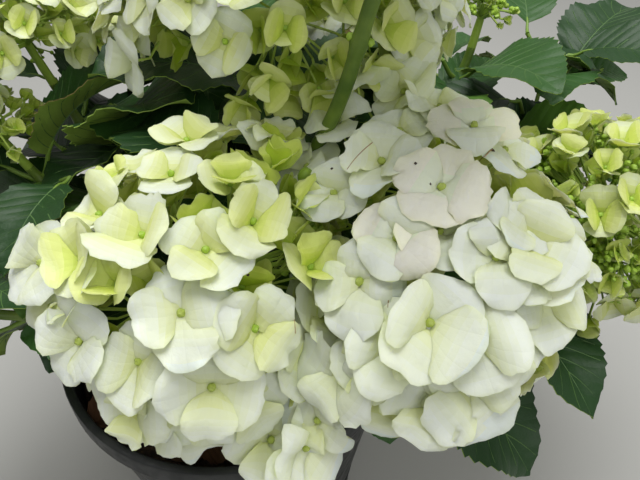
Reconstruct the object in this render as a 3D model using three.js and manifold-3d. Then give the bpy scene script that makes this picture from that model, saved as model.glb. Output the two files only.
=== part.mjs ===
// A white mophead hydrangea in its round nursery pot, built the way the plant grows: canes that
// rise from the potting mix, leafy shoots on them with their leaves in crossed pairs, and a domed
// head of four-sepalled florets on each flowering shoot.
// Millimetres, +Z up. The origin is the centre of the pot's flat foot, and -Y is the plant's front.

import * as THREE from "three";
import { mergeVertices } from "three/addons/utils/BufferGeometryUtils.js";
import Module from "manifold-3d";

const wasm = await Module();
wasm.setup();

// Clearance where two pieces meet, and how far off a neighbour is looked for.
const SEAT = 0.3;
const NEARBY = 1;

const POT = {
  height: 230,
  rimRadius: 140,
  footRadius: 104,
  wall: 2.6,
  floor: 3.2,
  lipHeight: 17,
  lipOut: 4,
  footRingHeight: 6,
  footRingOut: 1.5,
  step: 2,
  segments: 40,
  bevel: 1.2,
  drainHoles: 4,
  drainRadius: 7,
  drainPitch: 75,
};

// The mix is highest over a round plateau and falls by edgeDrop to the wall, most of it near there.
const SOIL = { top: 211, plateau: 62, edgeDrop: 7, shoulder: 0.3 };

const CANE = { footRadius: 8.2, flare: 16, lowRadius: 5.6, highRadius: 4.4, sides: 6, steps: 5 };
const SHOOT = { lowRadius: 4.4, highRadius: 3.6, sides: 6, steps: 5 };
// The share of each stem at which the bare cane ends and the leafy shoot begins, and the share of
// its span that a stem's ends take to turn from upright to the way of its head.
const CANE_SHARE = 0.4;
const BEND = 0.35;

const LEAF = {
  seed: 200,
  petiole: 24,
  petioleRadius: 1.9,
  thickness: 2.2,
  fold: 0.26,
  rise: 0.52,
  arch: 0.95,
  leanDrop: 0.6,
  vary: { heading: 0.3, rise: 0.2, arch: 0.4, size: 0.16, roll: 0.5 },
  // Shares of the blade's length, and half its width there as a share of that length.
  rows: [
    [0.17, 0.24],
    [0.46, 0.34],
    [0.78, 0.2],
  ],
  // A leaf that would touch a neighbour turns aside, lifts or stays smaller, in these steps.
  tries: [
    [0, 0, 1], [0.3, 0.1, 1], [-0.3, 0.1, 1], [0, -0.3, 0.95], [0, 0.35, 0.95],
    [0.6, -0.1, 0.9], [-0.6, -0.1, 0.9], [0.35, -0.45, 0.85], [-0.35, -0.45, 0.85],
  ],
};

const FLORET = {
  sepals: 4,
  shoulder: 0.46,
  twist: 0.05,
  cup: 0.12,
  root: 0.42,
  vary: { bearing: 0.25, width: 0.2 },
};
// Shares of the dome that the florets sit on, and the polar angle that the lowest ones reach.
const HEAD = { core: 0.74, underside: 0.62, stalk: 18, stalkRadius: 3.6, reach: 1.95, seed: 100 };

const deg = THREE.MathUtils.degToRad;
const vec = (x, y, z) => new THREE.Vector3(x, y, z);
const GOLDEN_ANGLE = Math.PI * (3 - Math.sqrt(5));

// Every stem of the plant. foot is the bearing and radius at which it leaves the potting mix, head
// the middle of its flower head or, on a blind shoot, its tip. tilt is how far the head leans over
// and facing the bearing that it leans to. radii are those of the dome that the florets sit on:
// across the lean, along it and up. strays are florets that stand out of the dome, each as [polar
// angle, bearing from the lean, share of the dome's radius]. Each leaf pair is [share of the stem,
// bearing, length, and how much steeper than usual it rises].
const STEMS = [
  {
    name: "front_left", foot: [240, 46], head: [9, -99, 371], tilt: 25, facing: 262,
    radii: [73, 76, 57], stage: "open", florets: 23, width: 41,
    strays: [[66, -76, 1.08], [86, -52, 1.12], [99, -34, 1.24], [62, 84, 1.16]],
    pairs: [[0.5, 352, 105, 0], [0.62, 262, 64, -0.1], [0.74, 178, 112, 0]],
  },
  {
    name: "front_right", foot: [280, 46], head: [134, -96, 380], tilt: 25, facing: 272,
    radii: [74, 84, 60], stage: "open", florets: 24, width: 41,
    strays: [[74, 44, 1.06], [48, 62, 1.02]],
    pairs: [[0.52, 20, 112, 0], [0.62, 280, 74, -0.1], [0.76, 320, 120, -0.15]],
  },
  {
    name: "right", foot: [320, 46], head: [265, -15, 350], tilt: 26, facing: 350,
    radii: [63, 61, 50], stage: "young", florets: 18, width: 31,
    pairs: [[0.52, 330, 120, 0], [0.74, 275, 118, 0], [0.93, 240, 128, -0.25]],
  },
  {
    name: "left", foot: [160, 46], head: [-146, 86, 442], tilt: 15, facing: 200,
    radii: [58, 56, 47], stage: "young", florets: 17, width: 30,
    pairs: [[0.5, 250, 118, 0], [0.68, 150, 120, 0], [0.84, 235, 105, 0]],
  },
  {
    name: "low_left", foot: [180, 22], head: [-158, 33, 386], tilt: 22, facing: 190,
    radii: [28, 28, 25], stage: "young", florets: 8, width: 22,
    pairs: [[0.55, 105, 115, 0], [0.93, 17, 112, 0.6]],
  },
  {
    name: "back", foot: [108, 22], head: [50, 50, 486], tilt: 18, facing: 275,
    radii: [100, 86, 64], stage: "open", florets: 25, width: 44,
    pairs: [[0.5, 150, 122, 0], [0.64, 60, 118, 0], [0.8, 205, 112, 0]],
  },
  {
    name: "tall", foot: [252, 22], head: [122, -64, 600], tilt: 16, facing: 334,
    radii: [56, 56, 46], stage: "open", florets: 15, width: 36,
    through: [[79, -47, 441], [96, -53, 503]],
    pairs: [[0.47, 340, 100, 0], [0.95, 10, 84, 0.3]],
  },
  {
    name: "bud", foot: [40, 46], head: [204, 146, 434], tilt: 14, facing: 40,
    radii: [23, 23, 20], stage: "bud", florets: 7, width: 15,
    pairs: [[0.5, 20, 122, 0], [0.64, 290, 122, 0], [0.78, 15, 115, 0], [0.9, 110, 95, 0]],
  },
  {
    name: "rear_left", foot: [120, 46], head: [-75, 215, 462], tilt: 26, facing: 115,
    radii: [72, 72, 56], stage: "open", florets: 17, width: 40,
    pairs: [[0.48, 200, 122, 0], [0.64, 110, 120, 0], [0.8, 190, 112, 0]],
  },
  {
    name: "rear_right", foot: [36, 22], head: [112, 228, 400], tilt: 32, facing: 65,
    radii: [70, 70, 54], stage: "open", florets: 17, width: 40,
    pairs: [[0.5, 355, 122, 0], [0.66, 85, 118, 0], [0.82, 350, 110, 0]],
  },
  {
    name: "side_left", foot: [200, 46], head: [-232, -50, 335], tilt: 36, facing: 195,
    radii: [70, 70, 54], stage: "open", florets: 17, width: 40,
    pairs: [[0.5, 165, 120, 0], [0.67, 212, 118, 0], [0.83, 150, 108, 0]],
  },
  {
    name: "blind_right", foot: [0, 46], head: [205, 62, 330], stage: "blind",
    pairs: [[0.5, 290, 120, 0], [0.66, 20, 122, 0], [0.82, 290, 115, 0], [0.97, 20, 100, 0]],
  },
  {
    name: "blind_corner", foot: [324, 22], head: [278, 138, 380], stage: "blind",
    pairs: [[0.55, 320, 122, 0], [0.72, 45, 120, 0], [0.86, 310, 115, 0], [0.98, 35, 95, 0.2]],
  },
  {
    name: "blind_rear", foot: [80, 46], head: [0, 190, 330], stage: "blind",
    pairs: [[0.55, 160, 120, 0], [0.78, 70, 122, 0], [0.97, 155, 100, 0]],
  },
];

// A small seeded generator: the same seed always grows the same plant.
function dice(seed) {
  let state = seed >>> 0;
  return () => {
    state = (Math.imul(state, 1664525) + 1013904223) >>> 0;
    return state / 4294967296;
  };
}

function solid(geometry) {
  const bare = geometry.clone();
  bare.deleteAttribute("normal");
  bare.deleteAttribute("uv");
  const merged = mergeVertices(bare, 1e-4);
  return new wasm.Manifold(
    new wasm.Mesh({
      numProp: 3,
      vertProperties: merged.attributes.position.array,
      triVerts: new Uint32Array(merged.index.array),
    }),
  );
}

function geometryOf(manifold) {
  const mesh = manifold.getMesh();
  const geometry = new THREE.BufferGeometry();
  geometry.setAttribute("position", new THREE.BufferAttribute(mesh.vertProperties, 3));
  geometry.setIndex(new THREE.BufferAttribute(mesh.triVerts, 1));
  return geometry;
}

// A closed geometry from corners and faces, each face a list of corners seen from outside.
function closedShape(corners, faces) {
  const geometry = new THREE.BufferGeometry().setFromPoints(corners);
  const triangles = faces.flatMap((f) => f.slice(2).map((c, i) => [f[0], f[i + 1], c])).flat();
  geometry.setIndex(triangles);
  return geometry;
}

function lathe(profile) {
  const points = profile.map(([r, z]) => new THREE.Vector2(r, z));
  return new THREE.LatheGeometry(points, POT.segments).rotateX(Math.PI / 2);
}

// How far out the pot's outer wall is at a height.
function wallRadius(z) {
  const top = POT.rimRadius - POT.lipOut;
  return THREE.MathUtils.lerp(POT.footRadius, top, z / POT.height);
}

function pot() {
  const lipBottom = POT.height - POT.lipHeight;
  const inner = (z) => wallRadius(z) - POT.wall;
  const body = solid(
    lathe([
      [0, 0],
      [POT.footRadius + POT.footRingOut, 0],
      [POT.footRadius + POT.footRingOut, POT.footRingHeight],
      [wallRadius(POT.footRingHeight), POT.footRingHeight + POT.step],
      [wallRadius(lipBottom), lipBottom - POT.step],
      [POT.rimRadius, lipBottom],
      [POT.rimRadius, POT.height - POT.bevel],
      [POT.rimRadius - POT.bevel, POT.height],
      [inner(POT.height), POT.height],
      [inner(POT.floor), POT.floor],
      [0, POT.floor],
    ]),
  );
  const drains = Array.from({ length: POT.drainHoles }, (_, i) => {
    const hole = new THREE.CylinderGeometry(POT.drainRadius, POT.drainRadius, 4 * POT.floor, 10);
    hole.rotateX(Math.PI / 2).translate(POT.drainPitch, 0, POT.floor / 2);
    return solid(hole.rotateZ((2 * Math.PI * (i + 0.5)) / POT.drainHoles));
  });
  return body.subtract(wasm.Manifold.union(drains));
}

function soil() {
  const edge = SOIL.top - SOIL.edgeDrop;
  const bottom = POT.floor + SEAT;
  // The facets' flats come nearer the axis than their corners do, hence twice the clearance.
  const inside = (z) => wallRadius(z) - POT.wall - 2 * SEAT;
  return solid(
    lathe([
      [0, bottom],
      [inside(bottom), bottom],
      [inside(edge), edge],
      [(SOIL.plateau + inside(edge)) / 2, SOIL.top - SOIL.shoulder * SOIL.edgeDrop],
      [SOIL.plateau, SOIL.top],
      [0, SOIL.top],
    ]),
  );
}

// The way up of a flower head, from its tilt and the bearing that it leans to.
function axisOf(stem) {
  const tilt = deg(stem.tilt ?? 0);
  const facing = deg(stem.facing ?? 0);
  return vec(Math.sin(tilt) * Math.cos(facing), Math.sin(tilt) * Math.sin(facing), Math.cos(tilt));
}

// A stem's curve, from its foot in the mix to the collar under its flower head or its blind tip. It
// rises upright from the mix and ends along the head's axis, or runs through the stem's own points.
function stemCurve(stem) {
  const [bearing, radius] = stem.foot;
  const foot = vec(radius * Math.cos(deg(bearing)), radius * Math.sin(deg(bearing)), SOIL.top + SEAT);
  const drop = stem.radii ? HEAD.underside * stem.radii[2] + HEAD.stalk : 0;
  const collar = vec(...stem.head).addScaledVector(axisOf(stem), -drop);
  const length = foot.distanceTo(collar);
  const rise = vec(0, 0, BEND * length);
  if (stem.through) {
    const middle = stem.through.map((point) => vec(...point));
    return new THREE.CatmullRomCurve3([foot, foot.clone().addScaledVector(rise, 0.4), ...middle, collar]);
  }
  const below = collar.clone().addScaledVector(axisOf(stem), -rise.z);
  return new THREE.CubicBezierCurve3(foot, foot.clone().add(rise), below, collar);
}

// A round limb along part of a curve. radiusAt takes the share of the limb's own length.
function limb(curve, from, to, radiusAt, sides, steps) {
  const geometry = new THREE.CylinderGeometry(1, 1, 1, sides, steps);
  const position = geometry.attributes.position;
  let across = vec(1, 0, 0);
  const rings = Array.from({ length: steps + 1 }, (_, i) => {
    const share = i / steps;
    const at = THREE.MathUtils.lerp(from, to, share);
    const along = curve.getTangentAt(at);
    across = across.clone().addScaledVector(along, -across.dot(along)).normalize();
    return { middle: curve.getPointAt(at), across, side: along.clone().cross(across), radius: radiusAt(share) };
  });
  for (let i = 0; i < position.count; i++) {
    const ring = rings[Math.round((position.getY(i) + 0.5) * steps)];
    const corner = ring.middle
      .clone()
      .addScaledVector(ring.across, position.getX(i) * ring.radius)
      .addScaledVector(ring.side, -position.getZ(i) * ring.radius);
    position.setXYZ(i, corner.x, corner.y, corner.z);
  }
  return solid(geometry);
}

function cane(stem) {
  const curve = stemCurve(stem);
  const length = curve.getLength() * CANE_SHARE;
  const radiusAt = (share) =>
    THREE.MathUtils.lerp(CANE.lowRadius, CANE.highRadius, share) +
    (CANE.footRadius - CANE.lowRadius) * Math.exp((-share * length) / CANE.flare);
  return limb(curve, 0, CANE_SHARE, radiusAt, CANE.sides, CANE.steps);
}

// The two leaves of a pair on a stem, each as its few ways to grow, best first. A leaf hangs in the
// upright plane of its bearing: it leaves the stem at the angle rise above the level and arches over
// towards its tip. On a leaning stem the leaf on the low side starts lower.
function leafPair(curve, [share, bearing, length, lift], random) {
  const root = curve.getPointAt(share);
  const along = curve.getTangentAt(share);
  const lean = Math.acos(THREE.MathUtils.clamp(along.z, -1, 1));
  const leanBearing = Math.atan2(along.y, along.x);
  return [0, 180].map((half) => {
    const spread = (range) => range * (random() - 0.5);
    const heading = deg(bearing + half) + spread(LEAF.vary.heading);
    const tipped = LEAF.leanDrop * lean * Math.cos(heading - leanBearing);
    const rise = LEAF.rise + lift - tipped + spread(LEAF.vary.rise);
    const arch = LEAF.arch * (1 + spread(LEAF.vary.arch));
    const size = length * (1 + spread(LEAF.vary.size));
    const roll = spread(LEAF.vary.roll);
    return LEAF.tries.map(([aside, up, shrink]) => ({
      root, heading: heading + aside, rise: rise + up, arch, length: size * shrink, roll,
    }));
  });
}

// The midrib of a leaf at a share of its blade: where it is, and its way across, along and up.
function midrib(leaf, share) {
  const slope = leaf.rise - leaf.arch * share;
  const run = leaf.length / leaf.arch;
  const out = LEAF.petiole * Math.cos(leaf.rise) + run * (Math.sin(leaf.rise) - Math.sin(slope));
  const up = LEAF.petiole * Math.sin(leaf.rise) + run * (Math.cos(slope) - Math.cos(leaf.rise));
  const ahead = vec(Math.cos(leaf.heading), Math.sin(leaf.heading), 0);
  const along = ahead.clone().multiplyScalar(Math.cos(slope)).add(vec(0, 0, Math.sin(slope)));
  const level = vec(-Math.sin(leaf.heading), Math.cos(leaf.heading), 0);
  const across = level.applyAxisAngle(along, leaf.roll);
  return {
    point: leaf.root.clone().addScaledVector(ahead, out).add(vec(0, 0, up)),
    along,
    across,
    face: along.clone().cross(across),
  };
}

// A blade folded along its midrib: a lens in section, with its edges sharp.
function blade(leaf) {
  const corners = [midrib(leaf, 0).point];
  for (const [share, halfWidth] of LEAF.rows) {
    const rib = midrib(leaf, share);
    const out = leaf.length * halfWidth;
    const edge = (side) =>
      rib.point
        .clone()
        .addScaledVector(rib.across, side * out * Math.cos(LEAF.fold))
        .addScaledVector(rib.face, out * Math.sin(LEAF.fold));
    const below = rib.point.clone().addScaledVector(rib.face, -LEAF.thickness);
    corners.push(edge(1), rib.point, edge(-1), below);
  }
  corners.push(midrib(leaf, 1).point);
  const tip = corners.length - 1;
  const faces = [[0, 2, 1], [0, 3, 2], [0, 1, 4], [0, 4, 3]];
  for (let row = 0; row + 1 < LEAF.rows.length; row++) {
    const [left, rib, right, below] = [1, 2, 3, 4].map((n) => n + 4 * row);
    faces.push([left, rib, rib + 4, left + 4], [rib, right, right + 4, rib + 4]);
    faces.push([below, left, left + 4, below + 4], [right, below, below + 4, right + 4]);
  }
  const [left, rib, right, below] = [tip - 4, tip - 3, tip - 2, tip - 1];
  faces.push([left, rib, tip], [rib, right, tip], [below, left, tip], [right, below, tip]);
  return solid(closedShape(corners, faces));
}

// The leaf's stalk starts inside the stem and runs on under the blade as the root of its midrib.
function petiole(leaf) {
  const joint = midrib(leaf, 0);
  const line = new THREE.CatmullRomCurve3([
    leaf.root,
    joint.point.clone().addScaledVector(joint.along, -2),
    midrib(leaf, 0.16).point.addScaledVector(midrib(leaf, 0.16).face, -0.4 * LEAF.thickness),
  ]);
  return limb(line, 0, 1, (share) => LEAF.petioleRadius * (1.15 - 0.35 * share), 3, 2);
}

// The leafy part of a stem, bare as yet.
function shoot(stem) {
  const curve = stemCurve(stem);
  const gap = SEAT / curve.getLength();
  const radiusAt = (share) => THREE.MathUtils.lerp(SHOOT.lowRadius, SHOOT.highRadius, share);
  return limb(curve, CANE_SHARE + gap, 1 - gap, radiusAt, SHOOT.sides, SHOOT.steps);
}

function isClear(a, b) {
  const [p, q] = [a.boundingBox(), b.boundingBox()];
  const apart = [0, 1, 2].some((k) => p.min[k] > q.max[k] + NEARBY || q.min[k] > p.max[k] + NEARBY);
  return apart || a.minGap(b, NEARBY) > SEAT;
}

// A shoot with its leaves. A leaf that has no way to grow clear of the rest of the plant is left out.
function leafyShoot(stem, stalk, others, seed) {
  const random = dice(seed);
  const curve = stemCurve(stem);
  const leaves = stem.pairs
    .flatMap((pair) => leafPair(curve, pair, random))
    .map((ways) => ways.map((leaf) => wasm.Manifold.union([petiole(leaf), blade(leaf)])))
    .map((ways) => ways.find((leaf) => others.every((other) => isClear(leaf, other))))
    .filter((leaf) => leaf);
  return wasm.Manifold.union([stalk, ...leaves]);
}

// A point of a head's dome and the way out there, at a polar angle from its crown and a bearing
// from its lean.
function domePoint(stem, polar, bearing) {
  const local = [Math.sin(polar) * Math.sin(bearing), Math.sin(polar) * Math.cos(bearing), Math.cos(polar)];
  const point = vec(...stem.head);
  const normal = vec(0, 0, 0);
  waysOf(stem).forEach((way, k) => {
    point.addScaledVector(way, local[k] * stem.radii[k]);
    normal.addScaledVector(way, local[k] / stem.radii[k]);
  });
  return { point, normal: normal.normalize() };
}

// A head's own directions: across its lean, along its lean and up.
function waysOf(stem) {
  const up = axisOf(stem);
  const facing = deg(stem.facing ?? 0);
  const side = vec(Math.sin(facing), -Math.cos(facing), 0);
  return [side, up.clone().cross(side), up];
}

// Florets along a golden spiral from the crown of a head to a little below its widest ring, and the
// few that stray from it.
function floretPlaces(stem, random) {
  const middle = vec(...stem.head);
  const spread = (range) => range * (random() - 0.5);
  const dress = (place) => ({
    ...place,
    root: place.point.clone().lerp(middle, FLORET.root),
    turn: random() * Math.PI,
    width: stem.width * (1 + spread(FLORET.vary.width)),
  });
  const spiral = Array.from({ length: stem.florets }, (_, i) => {
    const polar = Math.acos(1 - (1 - Math.cos(HEAD.reach)) * ((i + 0.5) / stem.florets));
    return dress(domePoint(stem, polar, i * GOLDEN_ANGLE + spread(FLORET.vary.bearing)));
  });
  const strays = (stem.strays ?? []).map(([polar, bearing, reach]) => {
    const place = dress(domePoint(stem, deg(polar), deg(bearing)));
    return { ...place, point: middle.clone().lerp(place.point, reach) };
  });
  return [...spiral, ...strays];
}

// One floret: a dished plate of four blunt sepals, set like a windmill's, over a root that is sunk
// in the head.
function floret({ point, normal, root, turn, width }) {
  const across = vec(normal.z, 0, -normal.x).normalize().applyAxisAngle(normal, turn);
  const rim = [];
  for (let i = 0; i < FLORET.sepals; i++) {
    const middle = (2 * Math.PI * i) / FLORET.sepals;
    for (const side of [-1, 1]) {
      const out = across.clone().applyAxisAngle(normal, middle + side * FLORET.shoulder);
      const lift = FLORET.cup - side * FLORET.twist;
      rim.push(point.clone().addScaledVector(out, width / 2).addScaledVector(normal, lift * width / 2));
    }
  }
  const corners = [...rim, point, root];
  const [top, foot] = [rim.length, rim.length + 1];
  const faces = rim.flatMap((_, i) => {
    const next = (i + 1) % rim.length;
    return [[top, i, next], [foot, next, i]];
  });
  return solid(closedShape(corners, faces));
}

// The dense middle of a head: a smaller dome, flattened below.
function core(stem) {
  const ball = new THREE.SphereGeometry(1, 8, 5).rotateX(Math.PI / 2);
  const position = ball.attributes.position;
  const ways = waysOf(stem);
  for (let i = 0; i < position.count; i++) {
    const local = [position.getX(i), position.getY(i), position.getZ(i)];
    if (local[2] < 0) local[2] *= HEAD.underside;
    const corner = vec(...stem.head);
    ways.forEach((way, k) => corner.addScaledVector(way, local[k] * HEAD.core * stem.radii[k]));
    position.setXYZ(i, corner.x, corner.y, corner.z);
  }
  return solid(ball);
}

function flowerHead(stem, middle, others, seed) {
  const random = dice(seed);
  const line = new THREE.LineCurve3(stemCurve(stem).getPoint(1), vec(...stem.head));
  const florets = floretPlaces(stem, random)
    .map(floret)
    .filter((one) => others.every((other) => isClear(one, other)));
  const stalk = limb(line, 0, 1, () => HEAD.stalkRadius, SHOOT.sides, 1);
  return wasm.Manifold.union([stalk, middle, ...florets]);
}

const FINISHES = {
  pot: new THREE.MeshStandardMaterial({ color: 0x17191a, roughness: 0.55, metalness: 0 }),
  soil: new THREE.MeshStandardMaterial({ color: 0x2a1c13, roughness: 1, metalness: 0 }),
  cane: new THREE.MeshStandardMaterial({ color: 0x6b6a3a, roughness: 0.8, metalness: 0 }),
  foliage: new THREE.MeshStandardMaterial({ color: 0x2f5c2a, roughness: 0.6, metalness: 0 }),
  open: new THREE.MeshStandardMaterial({ color: 0xe9eedb, roughness: 0.7, metalness: 0 }),
  young: new THREE.MeshStandardMaterial({ color: 0xcddb7c, roughness: 0.7, metalness: 0 }),
  bud: new THREE.MeshStandardMaterial({ color: 0x8db23f, roughness: 0.7, metalness: 0 }),
};

const plant = new THREE.Group();
plant.name = "hydrangea";

function add(name, manifold, finish) {
  const mesh = new THREE.Mesh(geometryOf(manifold), FINISHES[finish]);
  mesh.name = name;
  plant.add(mesh);
  return manifold;
}

// The limbs and the middles of the heads come first, then the florets clear of what is not their
// own, then the leaves clear of all that.
const vessel = [add("pot", pot(), "pot"), add("soil", soil(), "soil")];
const canes = STEMS.map((stem) => add(`cane_${stem.name}`, cane(stem), "cane"));
const shoots = STEMS.map(shoot);
const flowering = STEMS.filter((stem) => stem.stage !== "blind");
const middles = flowering.map(core);
const heads = [];
flowering.forEach((stem, i) => {
  const others = [...canes, ...shoots, ...heads, ...middles.filter((_, k) => k !== i)];
  const head = flowerHead(stem, middles[i], others, HEAD.seed + i);
  heads.push(add(`bloom_${stem.name}`, head, stem.stage));
});
const masses = [];
STEMS.forEach((stem, i) => {
  const limbs = [...canes, ...shoots].filter((_, k) => k % STEMS.length !== i);
  const others = [...vessel, ...limbs, ...heads, ...masses];
  masses.push(add(`leaves_${stem.name}`, leafyShoot(stem, shoots[i], others, LEAF.seed + i), "foliage"));
});

export default plant;
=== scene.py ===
# %% [markdown]
# A white mophead hydrangea in its nursery pot.
# The frame holds the plain solids of the pot, the potting mix, the canes, the leafy shoots and the
# flower heads. Each of them is replaced here by the same thing grown finer: bark on the canes,
# toothed and veined leaves, and heads of four-sepalled florets in all their ages.

import math

import bpy
import numpy as np
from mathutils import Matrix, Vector


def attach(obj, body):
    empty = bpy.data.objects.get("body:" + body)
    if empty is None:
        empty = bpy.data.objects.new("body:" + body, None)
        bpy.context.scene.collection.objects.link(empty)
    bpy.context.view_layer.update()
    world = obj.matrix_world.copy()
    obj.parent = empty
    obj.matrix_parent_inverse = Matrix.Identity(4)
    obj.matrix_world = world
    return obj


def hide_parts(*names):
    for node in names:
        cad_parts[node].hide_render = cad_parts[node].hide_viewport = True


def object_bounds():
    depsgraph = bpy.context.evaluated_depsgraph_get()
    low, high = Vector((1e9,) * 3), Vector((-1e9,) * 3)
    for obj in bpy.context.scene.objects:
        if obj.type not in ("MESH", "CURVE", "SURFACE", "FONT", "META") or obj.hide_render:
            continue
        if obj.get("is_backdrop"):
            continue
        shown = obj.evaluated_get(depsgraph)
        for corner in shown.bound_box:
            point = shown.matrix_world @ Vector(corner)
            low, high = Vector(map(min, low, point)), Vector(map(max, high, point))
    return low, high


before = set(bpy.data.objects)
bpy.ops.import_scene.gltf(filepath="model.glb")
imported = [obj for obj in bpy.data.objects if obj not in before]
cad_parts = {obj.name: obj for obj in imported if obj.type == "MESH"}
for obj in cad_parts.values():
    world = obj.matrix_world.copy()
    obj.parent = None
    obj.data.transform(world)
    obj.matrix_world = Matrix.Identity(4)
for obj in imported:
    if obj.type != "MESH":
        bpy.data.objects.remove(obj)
cad_low, cad_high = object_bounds()
print("nodes in the frame:", len(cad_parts))

# %% [markdown]
# The camera looks down on the front of the plant from about the height of its tallest head, as
# somebody does who bends over it. It comes first, because every later choice is judged through it.
# Its place is in metres, its tilt in degrees and its lens in millimetres.

# %% camera
CAMERA_PLACE = (0.072, -0.318, 0.586)
CAMERA_DOWN = 40.6
CAMERA_LENS = 31.5
NEAREST_SEEN = 0.01

eye = bpy.data.objects.new("camera", bpy.data.cameras.new("camera"))
bpy.context.scene.collection.objects.link(eye)
eye.location = CAMERA_PLACE
eye.rotation_euler = (math.radians(90 - CAMERA_DOWN), 0, 0)
eye.data.lens = CAMERA_LENS
eye.data.clip_start = NEAREST_SEEN
bpy.context.scene.camera = eye
print("camera lens, mm:", CAMERA_LENS)

# %% [markdown]
# The plant is photographed in soft daylight, so the studio is one broad lamp overhead, a weaker one
# from the front right and an even grey sky. The standard view keeps the whites of the florets white.

# %% lights and sky
# Each lamp has a name, its place in metres, its turn in degrees, its side in metres and its watts.
LAMPS = [
    ("overhead", (0.0, 0.25, 2.4), (-6, 0, 0), 1.6, 54),
    ("front", (1.0, -1.8, 1.6), (52, 0, 28), 1.6, 15),
]
SKY_COLOUR = (1.0, 0.99, 0.96, 1)
SKY_STRENGTH = 0.34

for name, place, turn, size, watts in LAMPS:
    lamp = bpy.data.lights.new(name, "AREA")
    lamp.size = size
    lamp.energy = watts
    holder = bpy.data.objects.new(name, lamp)
    holder.location = place
    holder.rotation_euler = [math.radians(angle) for angle in turn]
    bpy.context.scene.collection.objects.link(holder)

sky = bpy.data.worlds.new("sky")
sky.use_nodes = True
background = sky.node_tree.nodes["Background"]
background.inputs["Color"].default_value = SKY_COLOUR
background.inputs["Strength"].default_value = SKY_STRENGTH
bpy.context.scene.world = sky
bpy.context.scene.view_settings.view_transform = "Standard"
print("lamps:", len(LAMPS))

# %% [markdown]
# Small helpers. Modelling starts with nothing selected, and a finished shape that is to be copied
# many times is read into arrays, so that hundreds of copies can be laid side by side quickly.

# %% helpers for modelling
FULL_TURN = 2 * math.pi
# Two slanting directions that no limb or floret here points along, from which its sides are found.
SLANT_OF_LIMBS = (0.31, 0.95, 0.1)
SLANT_OF_FLORETS = (0.2, 0.9, 0.3)


def clear_selection():
    for one in bpy.context.selected_objects:
        one.select_set(False)


def select_only(piece):
    clear_selection()
    piece.select_set(True)
    bpy.context.view_layer.objects.active = piece


def open_for_editing(piece):
    select_only(piece)
    bpy.ops.object.mode_set(mode="EDIT")


def pick_points(piece, wanted):
    """Selects the points of a piece that is open for editing for which wanted(place) is true."""
    bpy.ops.object.mode_set(mode="OBJECT")
    for part in (piece.data.vertices, piece.data.edges, piece.data.polygons):
        part.foreach_set("select", [False] * len(part))
    for point in piece.data.vertices:
        point.select = bool(wanted(point.co))
    bpy.ops.object.mode_set(mode="EDIT")
    bpy.ops.mesh.select_mode(type="VERT")


def finish_modifiers(piece):
    select_only(piece)
    for modifier in list(piece.modifiers):
        bpy.ops.object.modifier_apply(modifier=modifier.name)


def smooth(piece, crease):
    """Shades a piece smooth, except at edges sharper than an angle in degrees."""
    select_only(piece)
    bpy.ops.object.shade_smooth_by_angle(angle=math.radians(crease))


def unit(v):
    """A vector, or each of a table of them, made one unit long."""
    return v / np.linalg.norm(v, axis=-1, keepdims=True)


def ways_about(normal):
    """Two ways across a way out, and the way out itself."""
    across = unit(np.cross(normal, SLANT_OF_FLORETS))
    return np.array([across, np.cross(normal, across), normal])


class Shape:
    """The corners and faces of one modelled shape, ready to be copied."""

    def __init__(self, piece):
        mesh = piece.data
        self.co = np.array([v.co for v in mesh.vertices])
        self.corners = np.array([i for p in mesh.polygons for i in p.vertices])
        self.sizes = np.array([len(p.vertices) for p in mesh.polygons])
        self.middles = np.array([p.center for p in mesh.polygons])
        self.normals = np.array([p.normal for p in mesh.polygons])
        self.uv = self.co[:, :2].copy()
        bpy.data.objects.remove(piece)


class Gathering:
    """Copies of small shapes laid side by side, which become one mesh at the end."""

    def __init__(self):
        self.co, self.corners, self.sizes, self.tints, self.uv = [], [], [], [], []
        self.count = 0

    def add(self, co, corners, sizes, tints, uv=None):
        self.co.append(co)
        self.corners.append(corners + self.count)
        self.sizes.append(sizes)
        self.tints.append(np.broadcast_to(tints, len(sizes)))
        self.uv.append(np.zeros((len(co), 2)) if uv is None else uv)
        self.count += len(co)

    def piece(self, name, finishes, slot, nodes, crease):
        corners, sizes = np.concatenate(self.corners), np.concatenate(self.sizes)
        mesh = bpy.data.meshes.new(name)
        mesh.vertices.add(self.count)
        mesh.vertices.foreach_set("co", np.concatenate(self.co).astype(np.float32).ravel())
        mesh.loops.add(len(corners))
        mesh.loops.foreach_set("vertex_index", corners.astype(np.int32))
        mesh.polygons.add(len(sizes))
        mesh.polygons.foreach_set("loop_start", (np.cumsum(sizes) - sizes).astype(np.int32))
        tints = np.concatenate(self.tints).astype(np.int32)
        mesh.polygons.foreach_set("material_index", tints)
        for finish in finishes:
            mesh.materials.append(finish)
        mesh.update(calc_edges=True)
        layer = mesh.uv_layers.new(name="shape")
        layer.uv.foreach_set("vector", np.concatenate(self.uv)[corners].astype(np.float32).ravel())
        mesh.validate()
        piece = bpy.data.objects.new(name, mesh)
        bpy.context.scene.collection.objects.link(piece)
        smooth(piece, crease)
        hand_over(piece, nodes)
        print(name, "has", int((sizes - 2).sum()), "triangles")
        return piece


def hand_over(piece, nodes):
    """Seats a piece on the plant's one body and hides the solids of the frame that it stands for."""
    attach(piece, "root")
    if nodes:
        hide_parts(*nodes)


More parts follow.
